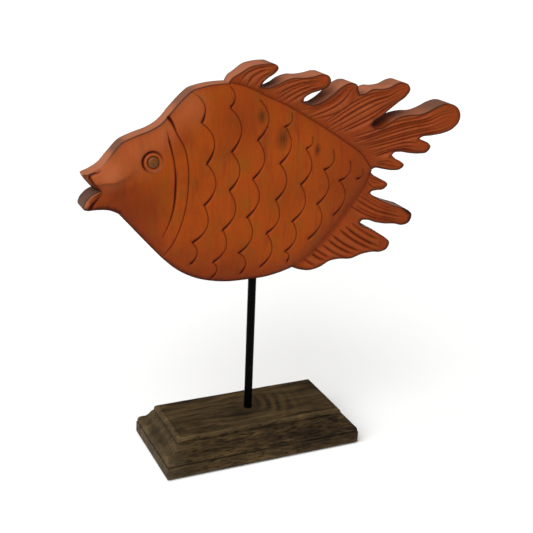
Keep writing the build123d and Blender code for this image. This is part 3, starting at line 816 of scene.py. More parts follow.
def arris_wax_and_shade(sizes, points, rim, facing, half, edge_points):
    """Dark wax along the board's edges, widened as painted shade on edges that face down to the right: at each
    point of a face, and at each point of the sawn edge.
    """
    spots = pattern_points([SNOUT_WEAR_SHARE, TIP_WAX_SHARE])
    bare, waxed = [np.linalg.norm(points - spot, axis=1) for spot in spots]
    kept = 1 - SNOUT_LOSS * falloff(bare, sizes.bare_width)
    tip = TIP_WAX * np.exp(-((waxed / sizes.tip_width) ** 4))
    towards = soft_step(facing @ np.array(SHADED_EDGE_DIRECTION), -0.2, 0.5)
    reach = sizes.arris * np.interp(towards, (0, 1), WAX_AND_SHADE_WIDTHS)
    on_face = np.maximum(kept * falloff(rim, reach), tip * falloff(rim, sizes.tip_edge))
    kept, tip, depth = kept[edge_points], tip[edge_points], 2 * half[edge_points]
    on_edge = [
        np.maximum(kept * falloff(min(share, 1 - share) * depth, sizes.arris), tip) for share in WALL_SHARES
    ]
    return on_face, np.concatenate(on_edge)


def board_blank(sizes, loops, cuts):
    """The sawn and shaped board, before its lines are carved."""
    points, triangles = board_layout(sizes, loops, cuts)
    border = border_edges(triangles, len(points))
    edge_points = np.unique(border)
    rim, facing = border_distance(points, border)
    half, slant, marks = relief(sizes, points, loops[0], rim)
    swell = sizes.swell * (1 - marks["lip"]) * falloff(rim, sizes.swell_width)
    x, z = (points + facing * swell[:, None]).T
    front = np.column_stack([x, -half * (1 - SLANT_CUT * slant), z])
    back = np.column_stack([x, half, z])
    piece = board_mesh(front, back, triangles, border)

    grey, black = [
        falloff(near_line(points, smooth_line(pattern_points(shares), sizes.line_step))[0], sizes.mouth_edge)
        for shares in (LOWER_LIP_SHARES, CHIN_SHARES)
    ]
    wax, edge_wax = arris_wax_and_shade(sizes, points, rim, facing, half, edge_points)
    rows = len(WALL_SHARES)
    plain = np.zeros(len(points))
    on_face = {**marks, "face_share": plain + 1, "arris": wax, "mouth": plain}
    on_face["stain"] = np.maximum(marks["stain"], CHIN_STAIN * black)
    on_edge = {
        "stain": np.tile(CHIN_EDGE_STAIN * black[edge_points], rows), "arris": edge_wax,
        "mouth": np.tile(grey[edge_points], rows),
    }
    for name, values in on_face.items():
        walls = on_edge.get(name, np.zeros(rows * len(edge_points)))
        set_attribute(piece.data, name, np.concatenate([values, values, walls]))
    return piece


def line_object(name, cuts):
    """Edges along carved lines in the fish's plane, with the weight of the cut at each point."""
    verts, edges = [], []
    for line, _ in cuts:
        first = len(verts)
        verts += [(x, 0, z) for x, z in line]
        edges += [(index, index + 1) for index in range(first, first + len(line) - 1)]
    mesh = bpy.data.meshes.new(name)
    mesh.from_pydata(verts, edges, [])
    set_attribute(mesh, "cut", np.concatenate([weight for _, weight in cuts]))
    lines = bpy.data.objects.new(name, mesh)
    bpy.context.scene.collection.objects.link(lines)
    return lines


# Inputs of a carving: width and depth of its lines in metres, how rounded they are, how far across them and how
# dark they are stained, and how strong a painted highlight their ridges get
CUT_INPUTS = ("Width", "Depth", "Softness", "Stain Share", "Stain", "Ridge")
# Where the painted highlight on a ridge starts and ends, as shares of the half width of its line
RIDGE_FLANK, RIDGE_CREST = 0.5, 1.7


def carving_tree():
    """Geometry Nodes tree that cuts one set of lines into both faces of the board, stains them, and paints a
    highlight along their ridges.
    """
    tree = bpy.data.node_groups.new("carve_lines", "GeometryNodeTree")
    sockets = [("Geometry", "NodeSocketGeometry"), ("Lines", "NodeSocketObject")]
    sockets += [(name, "NodeSocketFloat") for name in CUT_INPUTS] + [("Material", "NodeSocketMaterial")]
    for name, kind in sockets:
        tree.interface.new_socket(name, in_out="INPUT", socket_type=kind)
    tree.interface.new_socket("Geometry", in_out="OUTPUT", socket_type="NodeSocketGeometry")
    given = add_node(tree, "NodeGroupInput").outputs

    # Distance from the nearest line, and the weight of its cut
    position = add_node(tree, "GeometryNodeInputPosition")
    place = add_node(tree, "ShaderNodeSeparateXYZ", {0: position}).outputs
    flat = add_node(tree, "ShaderNodeCombineXYZ", {0: place["X"], 2: place["Z"]})
    lines = add_node(tree, "GeometryNodeObjectInfo", {0: given["Lines"]}).outputs["Geometry"]
    near = add_node(tree, "GeometryNodeProximity", {0: lines, "Sample Position": flat}, target_element="EDGES")
    gap = near.outputs["Distance"]
    nearest = add_node(tree, "GeometryNodeSampleNearest", {0: lines, 1: flat})
    weight = add_node(tree, "GeometryNodeInputNamedAttribute", {"Name": "cut"})
    cut = add_node(tree, "GeometryNodeSampleIndex", {0: lines, 1: weight, 2: nearest})
    width = add_node(tree, "ShaderNodeMath", {0: given["Width"], 1: cut}, operation="MULTIPLY")
    half = add_node(tree, "ShaderNodeMath", {0: width, 1: 0.5}, operation="MULTIPLY")

    # The faces are sunk along the line, and the sawn edge isn't
    sharp, rounded = [
        add_node(tree, "ShaderNodeMapRange", {0: gap, 1: 0.0, 2: half, 3: 1.0, 4: 0.0}, interpolation_type=shape)
        for shape in ("LINEAR", "SMOOTHSTEP")
    ]
    shape = add_node(tree, "ShaderNodeMix", {0: given["Softness"], 2: sharp, 3: rounded})
    on_face = add_node(tree, "GeometryNodeInputNamedAttribute", {"Name": "face_share"})
    strength = add_node(tree, "ShaderNodeMath", {0: cut, 1: on_face}, operation="MULTIPLY")
    depth = add_node(tree, "ShaderNodeMath", {0: given["Depth"], 1: strength}, operation="MULTIPLY")
    sunk = add_node(tree, "ShaderNodeMath", {0: depth, 1: shape}, operation="MULTIPLY")
    side = add_node(tree, "ShaderNodeMath", {0: place["Y"]}, operation="SIGN")
    inward = add_node(tree, "ShaderNodeMath", {0: side, 1: -1.0}, operation="MULTIPLY")
    shift = add_node(tree, "ShaderNodeMath", {0: sunk, 1: inward}, operation="MULTIPLY")
    offset = add_node(tree, "ShaderNodeCombineXYZ", {1: shift})
    carved = add_node(tree, "GeometryNodeSetPosition", {0: given["Geometry"], "Offset": offset})

    # The cut is stained over the darkest stain so far, and a highlight is painted along its ridges
    reach = add_node(tree, "ShaderNodeMath", {0: half, 1: given["Stain Share"]}, operation="MULTIPLY")
    tone = add_node(tree, "ShaderNodeMapRange", {0: gap, 1: 0.0, 2: reach, 3: 1.0, 4: 0.0})
    amount = add_node(tree, "ShaderNodeMath", {0: given["Stain"], 1: strength}, operation="MULTIPLY")
    darker = add_node(tree, "ShaderNodeMath", {0: tone, 1: amount}, operation="MULTIPLY")
    before = add_node(tree, "GeometryNodeInputNamedAttribute", {"Name": "stain"})
    darkest = add_node(tree, "ShaderNodeMath", {0: darker, 1: before}, operation="MAXIMUM")
    flank, crest = [
        add_node(tree, "ShaderNodeMath", {0: half, 1: share}, operation="MULTIPLY")
        for share in (RIDGE_FLANK, RIDGE_CREST)
    ]
    rise = add_node(tree, "ShaderNodeMapRange", {0: gap, 1: flank, 2: half, 3: 0.0, 4: given["Ridge"]})
    fall = add_node(tree, "ShaderNodeMapRange", {0: gap, 1: half, 2: crest, 3: rise, 4: 0.0})
    # Painted highlight on the ridges beside the cut
    rubbed = add_node(tree, "ShaderNodeMath", {0: fall, 1: strength}, operation="MULTIPLY")
    for name, value in (("stain", darkest), ("ridge", rubbed)):
        carved = add_node(tree, "GeometryNodeStoreNamedAttribute", {0: carved, "Name": name, "Value": value})
    realized = add_node(tree, "GeometryNodeRealizeInstances", {0: carved})
    finished = add_node(tree, "GeometryNodeSetMaterial", {0: realized, "Material": given["Material"]})
    add_node(tree, "NodeGroupOutput", {0: finished})
    return tree


def carve(piece, tree, lines, material, values):
    """Add one carving to a piece."""
    modifier = piece.modifiers.new(lines.name, "NODES")
    modifier.node_group = tree
    given = {"Lines": lines, "Material": material, **dict(zip(CUT_INPUTS, values))}
    for socket in tree.interface.items_tree:
        if socket.in_out == "INPUT" and socket.name in given:
            modifier[socket.identifier] = given[socket.name]


def ring_faces(levels, count):
    """Faces between rings of points that follow one another."""
    faces = []
    for low in range(0, (levels - 1) * count, count):
        high = low + count
        faces += [(low + i, low + (i + 1) % count, high + (i + 1) % count, high + i) for i in range(count)]
    return faces


def drill(piece, radius, bottom, top):
    """Add a round hole on the rod's axis, and return its drill."""
    turns = np.linspace(0, 2 * math.pi, TURNED_SIDES, endpoint=False)
    verts = [(radius * math.cos(turn), radius * math.sin(turn), z) for z in (bottom, top) for turn in turns]
    ends = [tuple(reversed(range(TURNED_SIDES))), tuple(range(TURNED_SIDES, 2 * TURNED_SIDES))]
    bit = new_piece("drill", verts, ring_faces(2, TURNED_SIDES) + ends)
    modifier = piece.modifiers.new("drill", "BOOLEAN")
    modifier.operation = "DIFFERENCE"
    modifier.solver = "MANIFOLD"
    modifier.object = bit
    return bit


def settle(piece, helpers, crease_angle):
    """Turn a piece with its modifiers into a plain mesh, and remove what helped to make it."""
    graph = bpy.context.evaluated_depsgraph_get()
    shaped = piece.evaluated_get(graph)
    made = bpy.data.meshes.new_from_object(shaped, preserve_all_data_layers=True, depsgraph=graph)
    old = piece.data
    piece.modifiers.clear()
    piece.data = made
    bpy.data.meshes.remove(old)
    made.name = piece.name
    for helper in helpers:
        bpy.data.meshes.remove(helper.data)
    made.shade_smooth()
    made.set_sharp_from_angle(angle=crease_angle)


def spot_share(tree, place, share, inner, outer, amount):
    """How much lies round a place of the pattern: the amount within the inner distance, none past the outer."""
    x, z = pattern_points([share])[0]
    flat = add_node(tree, "ShaderNodeVectorMath", {0: place, 1: (1, 0, 1)}, operation="MULTIPLY")
    away = add_node(tree, "ShaderNodeVectorMath", {0: flat.outputs[0], 1: (x, 0, z)}, operation="DISTANCE")
    return add_node(
        tree, "ShaderNodeMapRange", {0: away.outputs["Value"], 1: inner, 2: outer, 3: amount, 4: 0.0},
        interpolation_type="SMOOTHSTEP")


def stained_wood(colours, sizes):
    """Carved softwood under a brushed orange-brown stain and dull wax: long upright brush marks, dark wax left in
    the cuts, sawn edges that took less stain, painted paler as sheen too, and worn grey in places; painted shade,
    sheen and highlights are mixed into the colour."""
    material, tree, shader, place = new_material("stained_carved_wood")
    names = ("stain", "face_share", "fin_share", "pool", "lip", "rubbed", "ridge", "arris", "mouth")
    marks = {name: add_node(tree, "ShaderNodeAttribute", attribute_name=name).outputs["Fac"] for name in names}
    noises = {}
    for name, (across, along, detail, roughness) in STAIN_NOISES.items():
        scale = (1 / (across * MM), 1 / (across * MM), 1 / (along * MM))
        drawn = add_node(tree, "ShaderNodeMapping", {0: place, "Scale": scale})
        noises[name] = add_node(
            tree, "ShaderNodeTexNoise", {"Vector": drawn, "Scale": 1.0, "Detail": detail, "Roughness": roughness})

    # Brush marks and specks, under clouds, runs and blotches, darker spots of pooled stain and painted shade, and
    # painted sheen on the snout and the upper head
    streaks = add_node(tree, "ShaderNodeMapRange", {0: noises["brush"], 1: 0.25, 2: 0.78, 3: 0.0, 4: 1.0})
    mottle = add_node(tree, "ShaderNodeMix", {0: 0.4, 2: streaks, 3: noises["speck"]})
    base = add_node(
        tree, "ShaderNodeMix", {0: mottle, 6: colours.stain_mid, 7: colours.stain_light}, data_type="RGBA")
    layers = []
    for name, low, high, amount, colour in (
        ("cloud", 0.5, 0.75, 0.4, colours.stain_deep), ("run", 0.56, 0.74, 0.6, colours.stain_red),
        ("blotch", 0.48, 0.7, 0.7, colours.stain_olive),
    ):
        share = add_node(tree, "ShaderNodeMapRange", {0: noises[name], 1: low, 2: high, 3: 0.0, 4: amount})
        layers.append((share, colour))
    for spots, colour in ((POOL_AND_SHADE_SHARES, colours.stain_deep), (SHEEN_SHARES, colours.painted_highlight)):
        for spot, width, amount in spots:
            layers.append((spot_share(tree, place, spot, 0.0, width * sizes.pattern_length, amount), colour))
    for share, colour in layers:
        base = add_node(tree, "ShaderNodeMix", {0: share, 6: base, 7: colour}, data_type="RGBA")

    # Sawn edges: thin stain with painted sheen, worn grey in patches from the middle of the fish to its tail
    axes = add_node(tree, "ShaderNodeSeparateXYZ", {0: place}).outputs
    low, high = PATCH_START
    on_fins = add_node(tree, "ShaderNodeMapRange", {0: axes["X"], 1: low, 2: high, 3: 0.0, 4: 0.45})
    worn = add_node(tree, "ShaderNodeMapRange", {0: noises["patch"], 1: 0.5, 2: 0.62, 3: 0.0, 4: on_fins})
    for spot, width, amount in WORN_SHARES:
        reach = width * sizes.pattern_length
        patch = spot_share(tree, place, spot, 0.3 * reach, reach, amount)
        worn = add_node(tree, "ShaderNodeMath", {0: worn, 1: patch}, operation="MAXIMUM")
    edge = add_node(
        tree, "ShaderNodeMix", {0: worn, 6: colours.edge_stain_and_sheen, 7: colours.stain_worn}, data_type="RGBA")
    # Painted shade in the deepest notch: its edge takes the darker colour of the face
    notch = spot_share(tree, place, NOTCH_SHARE, *NOTCH_REACH, 1.0)
    edge = add_node(tree, "ShaderNodeMix", {0: notch, 6: edge, 7: colours.stain_mid}, data_type="RGBA")
    base = add_node(tree, "ShaderNodeMix", {0: marks["face_share"], 6: edge, 7: base}, data_type="RGBA")

    # Redder stain on the fins, painted shade along the rim and on the upper lip's slant, and painted highlight on
    # the lower lip, the ring round the eye and the rays' ridges, stronger on the upper fins
    low, high = pattern_points(RIDGE_HIGHLIGHT_SHARES)[:, 1]
    upper_highlight = add_node(tree, "ShaderNodeMapRange", {0: axes["Z"], 1: low, 2: high, 3: 0.1, 4: 0.32})
    layers = []
    for name, amount, colour in (
        ("fin_share", 0.45, colours.stain_red), ("pool", 0.7, colours.stain_red),
        ("lip", 0.85, colours.painted_highlight), ("rubbed", 1.0, colours.painted_highlight),
        ("ridge", upper_highlight, colours.painted_highlight),
    ):
        share = add_node(tree, "ShaderNodeMath", {0: marks[name], 1: amount}, operation="MULTIPLY")
        layers.append((share, colour))

    # Rubbed smudges on the scales
    smear = add_node(tree, "ShaderNodeMapping", {0: place, "Scale": SMUDGE_STRETCH})
    hairs = add_node(tree, "ShaderNodeMapRange", {0: noises["brush"], 1: 0.38, 2: 0.56, 3: 0.45, 4: 0.95})
    for spot, width in SMUDGE_SHARES:
        x, z = pattern_points([spot])[0]
        middle = Vector((x, -sizes.crown_half, z)) * Vector(SMUDGE_STRETCH)
        away = add_node(tree, "ShaderNodeVectorMath", {0: smear, 1: middle}, operation="DISTANCE").outputs["Value"]
        reach = width * sizes.pattern_length
        spread = add_node(tree, "ShaderNodeMapRange", {0: away, 1: 0.1 * reach, 2: 0.8 * reach, 3: 0.9, 4: 0.0})
        share = add_node(tree, "ShaderNodeMath", {0: spread, 1: hairs}, operation="MULTIPLY")
        layers.append((share, colours.smudge))

    # Dark wax round the mouth and along the arris, the arris widened with painted shade on edges that face down to
    # the right; dark red stain in the cuts, with painted shade at the roots of the fins and on the forehead side
    # of the eye's groove
    grime = add_node(tree, "ShaderNodeMapRange", {0: noises["speck"], 1: 0.3, 2: 0.7, 3: 0.95, 4: 0.7})
    broken = add_node(tree, "ShaderNodeMapRange", {0: noises["patch"], 1: 0.3, 2: 0.6, 3: 0.8, 4: 1.0})
    for name, amount, colour in (
        ("mouth", grime, colours.mouth_wax), ("arris", broken, colours.edge_wax),
        ("stain", 1.15, colours.stain_groove),
    ):
        share = add_node(
            tree, "ShaderNodeMath", {0: marks[name], 1: amount}, operation="MULTIPLY", use_clamp=True)
        layers.append((share, colour))
    for share, colour in layers:
        base = add_node(tree, "ShaderNodeMix", {0: share, 6: base, 7: colour}, data_type="RGBA")
    join_finish(tree, shader, base, noises["brush"], (0.44, 0.6), noises["brush"], 0.25, 0.5 * MM)
    shader.inputs["Specular IOR Level"].default_value = 0.05
    return material


class CarvedFishBoard(bpy.types.Operator):
    """Saw, shape and carve the fish"""

    bl_idname = "carved_fish.board"
    bl_label = "Fish"

    def execute(self, context):
        sizes = context.scene.carved_fish_sizes
        scales = scale_lines(sizes.line_step)
        gills = gill_lines(sizes.line_step)
        rays = ray_lines(sizes.line_step)
        fish = board_blank(sizes, fish_loops(sizes.line_step), scales + gills + rays)
        wood = stained_wood(context.scene.carved_fish_colours, sizes)
        tree = carving_tree()
        helpers = []
        for name, cuts, values in (
            ("scale_lines", scales, (sizes.scale_width, sizes.scale_depth, 0.0, 0.8, 1.0, 0.0)),
            ("gill_lines", gills, (sizes.gill_width, sizes.gill_depth, 0.2, 0.8, 1.0, 0.0)),
            ("ray_lines", rays, (sizes.ray_width, sizes.ray_depth, 0.7, 0.5, 0.6, 1.0)),
        ):
            lines = line_object(name, cuts)
            carve(fish, tree, lines, wood, values)
            helpers.append(lines)
        helpers.append(drill(fish, rod_high.x + sizes.bore_play, fish_low.z - DRILL_RUN, rod_high.z))
        settle(fish, helpers, FISH_CREASE)
        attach(fish, "fish")
        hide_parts("fish_board")
        return {"FINISHED"}


# The eye plug: taper of its inner end as a share of its radius and a length, how far below the face its dome
# starts, the dome's rings and how much of a quarter turn they take, and how its stain darkens at its joint
PLUG_TAPER, PLUG_LEAD = 0.96, 0.3 * MM
PLUG_SEAT = 0.5 * MM
DOME_RINGS, DOME_SHARE = 12, 0.92
JOINT_FADE, JOINT_DARK = (0.1 * MM, 1.2 * MM), 0.8


def turned_plug(name, section, side):
    """Plug turned about the eye's axis, from radius and depth pairs."""
    x, z = eye_centre()
    count = TURNED_SIDES
    turns = np.linspace(0, 2 * math.pi, count, endpoint=False)
    verts = [
        (x + radius * math.cos(turn), side * depth, z + radius * math.sin(turn))
        for radius, depth in section for turn in turns
    ]
    top = len(verts) - count
    verts += [(x, side * section[0][1], z), (x, side * section[-1][1], z)]
    faces = ring_faces(len(section), count)
    faces += [(len(verts) - 2, (i + 1) % count, i) for i in range(count)]
    faces += [(len(verts) - 1, top + i, top + (i + 1) % count) for i in range(count)]
    if side > 0:
        faces = [face[::-1] for face in faces]
    return new_piece(name, verts, faces)


def eye_wood(colours):
    """Turned hardwood plug with a brushed olive-brown stain: darker at its joint, a soft wax shine on the dome."""
    material, tree, shader, place = new_material("turned_eye_wood")
    grain = add_node(tree, "ShaderNodeTexNoise", {"Vector": place, "Scale": 1 / (2.2 * MM), "Detail": 4.0})
    tone = add_node(tree, "ShaderNodeMapRange", {0: grain, 1: 0.35, 2: 0.7, 3: 0.0, 4: 0.8})
    base = add_node(
        tree, "ShaderNodeMix", {0: tone, 6: colours.eye_stain, 7: colours.stain_deep}, data_type="RGBA")
    joint = add_node(tree, "ShaderNodeAttribute", attribute_name="joint").outputs["Fac"]
    base = add_node(tree, "ShaderNodeMix", {0: joint, 6: base, 7: colours.stain_groove}, data_type="RGBA")
    join_finish(tree, shader, base, grain, (0.3, 0.45), grain, 0.2, 0.2 * MM)
    shader.inputs["Specular IOR Level"].default_value = 0.12
    return material


class CarvedFishEyes(bpy.types.Operator):
    """Turn the two eye plugs and set them in the fish"""

    bl_idname = "carved_fish.eyes"
    bl_label = "Eyes"

    def execute(self, context):
        wood = eye_wood(context.scene.carved_fish_colours)
        radius = (eye_high.x - eye_low.x) / 2
        face, top, shank = fish_high.y, -eye_low.y, -eye_high.y
        section = [(PLUG_TAPER * radius, shank), (radius, shank + PLUG_LEAD), (radius, face - PLUG_SEAT)]
        for angle in np.linspace(0, DOME_SHARE, DOME_RINGS) * math.pi / 2:
            section.append((radius * math.cos(angle), face + (top - face) * math.sin(angle)))
        for name, node, side in (("front_eye_plug", "front_eye", -1), ("rear_eye_plug", "rear_eye", 1)):
            plug = turned_plug(name, section, side)
            depth = np.abs(np.array([vert.co.y for vert in plug.data.vertices]))
            set_attribute(plug.data, "joint", JOINT_DARK * (1 - soft_step(depth - face, *JOINT_FADE)))
            plug.data.materials.append(wood)
            plug.data.shade_smooth()
            plug.data.set_sharp_from_angle(angle=PLUG_CREASE)
            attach(plug, "fish")
            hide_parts(node)
        return {"FINISHED"}


def black_paint(colours):
    """Steel rod under satin black paint: an even dull shine with faint rolling marks and a few rubbed specks."""
    material, tree, shader, place = new_material("satin_black_paint")
    roll = add_node(tree, "ShaderNodeMapping", {0: place, "Scale": (1 / (2 * MM), 1 / (2 * MM), 1 / (25 * MM))})
    marks = add_node(tree, "ShaderNodeTexNoise", {"Vector": roll, "Scale": 1.0, "Detail": 4.0})
    specks = add_node(tree, "ShaderNodeTexNoise", {"Vector": place, "Scale": 1 / (3 * MM), "Detail": 3.0})
    rubbed = add_node(tree, "ShaderNodeMapRange", {0: specks, 1: 0.7, 2: 0.76, 3: 0.0, 4: 0.5})
    base = add_node(
        tree, "ShaderNodeMix", {0: rubbed, 6: colours.rod_paint, 7: colours.rod_bare}, data_type="RGBA")
    join_finish(tree, shader, base, marks, (0.38, 0.55), marks, 0.12, 0.2 * MM)
    shader.inputs["Specular IOR Level"].default_value = 0.03
    return material


def dress(node, material):
    """Give a node of the frame its finish."""
    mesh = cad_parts[node].data
    mesh.materials.clear()
    mesh.materials.append(material)


class CarvedFishRod(bpy.types.Operator):
    """Paint the rod"""

    bl_idname = "carved_fish.rod"
    bl_label = "Rod"

    def execute(self, context):
        dress("rod", black_paint(context.scene.carved_fish_colours))
        return {"FINISHED"}


# Section of the plinth's moulding, from the bottom edge to the top: inset and height in millimetres,
# how much it is rubbed pale, and how much dark wax it holds
PLINTH_SECTION = [
    (0.9, 0.0, 0.0, 0.3), (0.3, 0.3, 0.0, 0.3), (0.0, 1.0, 0.1, 0.0), (0.0, 3.5, 0.0, 0.0), (0.0, 6.5, 0.0, 0.0),
    (0.0, 9.5, 0.0, 0.0), (0.0, 11.4, 0.1, 0.0), (0.25, 12.1, 0.0, 0.5), (1.2, 12.7, 0.0, 1.0),
    (0.7, 13.3, 0.0, 0.6), (0.8, 14.2, 0.1, 0.0), (1.2, 15.7, 0.0, 0.0), (1.9, 17.0, 0.0, 0.0),
    (3.0, 18.3, 0.0, 0.1), (4.6, 18.9, 0.0, 0.3), (6.2, 19.9, 0.0, 0.5), (7.6, 21.3, 0.0, 0.5),
    (8.4, 22.4, 0.0, 0.3), (9.4, 24.0, 0.0, 0.1), (10.4, 26.0, 0.0, 0.0), (11.4, 27.6, 0.0, 0.2),
    (12.2, 28.6, 0.0, 0.4), (13.0, 29.4, 0.0, 0.7), (12.9, 30.1, 0.0, 0.4), (12.9, 31.0, 0.0, 0.0),
    (13.2, 32.2, 0.1, 0.0), (13.7, 33.3, 0.1, 0.0), (14.5, 34.2, 0.25, 0.0), (15.5, 34.75, 0.15, 0.0),
    (16.4, 34.95, 0.0, 0.1), (17.2, 34.7, 0.0, 0.55), (18.0, 34.95, 0.0, 0.2), (18.8, 35.0, 0.0, 0.0),
]
# How much wider the moulding is at the plinth's ends
END_STRETCH = 1.14
# Height in millimetres past which the moulding counts as the plinth's top, and the wax on the plain faces
TOP_START = 34.5
FIELD_WAX = 0.18
# Darker spots: painted shadow and reflection of the rod round its foot, and a dark stain patch beside it: place
# and width in millimetres, and strength
PLINTH_SHADOW_AND_STAIN_SPOTS = ((-12, -8, 34, 0.5), (28, 0, 42, 0.45))
# Heights from which the surface is scraped sideways and upwards, the width of the moulding that is scraped
# sideways at the ends and along the sides, and the distance over which that dies away
SCRAPE_FOOT, SCRAPE_TOP = 0.5 * MM, 1.1 * MM
SCRAPE_ENDS, SCRAPE_SIDES, SCRAPE_FADE = 20 * MM, 18 * MM, 10 * MM
# Long hollows and chips of the hand-scraped surface: length and width, and how far each lifts it
HOLLOW_SIZE, HOLLOW_LIFT = (55 * MM, 9 * MM), 0.22 * MM
CHIP_SIZE, CHIP_LIFT = (9 * MM, 2.6 * MM), 0.14 * MM


def scraped(x, y, z):
    """A point of the plinth, moved by the scraping of its surface, with the grain."""
    height = z - base_low.z
    if height < SCRAPE_FOOT:
        return (x, y, z)
    lift = sum(
        share * noise.noise(Vector((x / length, y / width, z / width)))
        for (length, width), share in ((HOLLOW_SIZE, HOLLOW_LIFT), (CHIP_SIZE, CHIP_LIFT))
    )
    moved = [x, y]
    if abs(x) >= base_high.x - SCRAPE_ENDS or abs(y) >= base_high.y - SCRAPE_SIDES:
        for axis, edge in enumerate((base_high.x, base_high.y)):
            outward = max(-1, min(1, (abs(moved[axis]) - edge + SCRAPE_ENDS) / SCRAPE_FADE))
            moved[axis] += lift * math.copysign(1, moved[axis]) * outward
    return (*moved, z + (0.5 * lift if height > SCRAPE_TOP else 0))


def plinth_mesh(sizes):
    """Plinth with its moulding mitred at the corners, and a worn, scraped surface."""
    columns = int(round(2 * base_high.x / sizes.plinth_step))
    rows = int(round(2 * base_high.y / sizes.plinth_step))
    ring = [(column, 0) for column in range(columns)] + [(columns, row) for row in range(rows)]
    ring += [(column, rows) for column in range(columns, 0, -1)] + [(0, row) for row in range(rows, 0, -1)]
    count = len(ring)
    verts, marks = [], []

    def add_point(level, column, row, mark):
        inset, height = PLINTH_SECTION[level][:2]
        x = (base_high.x - END_STRETCH * inset * MM) * (2 * column / columns - 1)
        y = (base_high.y - inset * MM) * (2 * row / rows - 1)
        verts.append(scraped(x, y, base_low.z + height * MM))
        marks.append(mark)

    for level, (_, height, rubbed, dark) in enumerate(PLINTH_SECTION):
        for column, row in ring:
            add_point(level, column, row, (rubbed, dark, height > TOP_START))
    faces = ring_faces(len(PLINTH_SECTION), count)
    for level, upward in ((len(PLINTH_SECTION) - 1, True), (0, False)):
        index = {key: level * count + place for place, key in enumerate(ring)}
        for column in range(1, columns):
            for row in range(1, rows):
                index[column, row] = len(verts)
                add_point(level, column, row, (0.0, FIELD_WAX, upward))
        for column in range(columns):
            for row in range(rows):
                corners = ((column, row), (column + 1, row), (column + 1, row + 1), (column, row + 1))
                faces.append(tuple(index[corner] for corner in (corners if upward else corners[::-1])))
    plinth = new_piece("moulded_plinth", verts, faces)
    for name, values in zip(("wear", "wax", "top"), zip(*marks)):
        set_attribute(plinth.data, name, values)
    return plinth


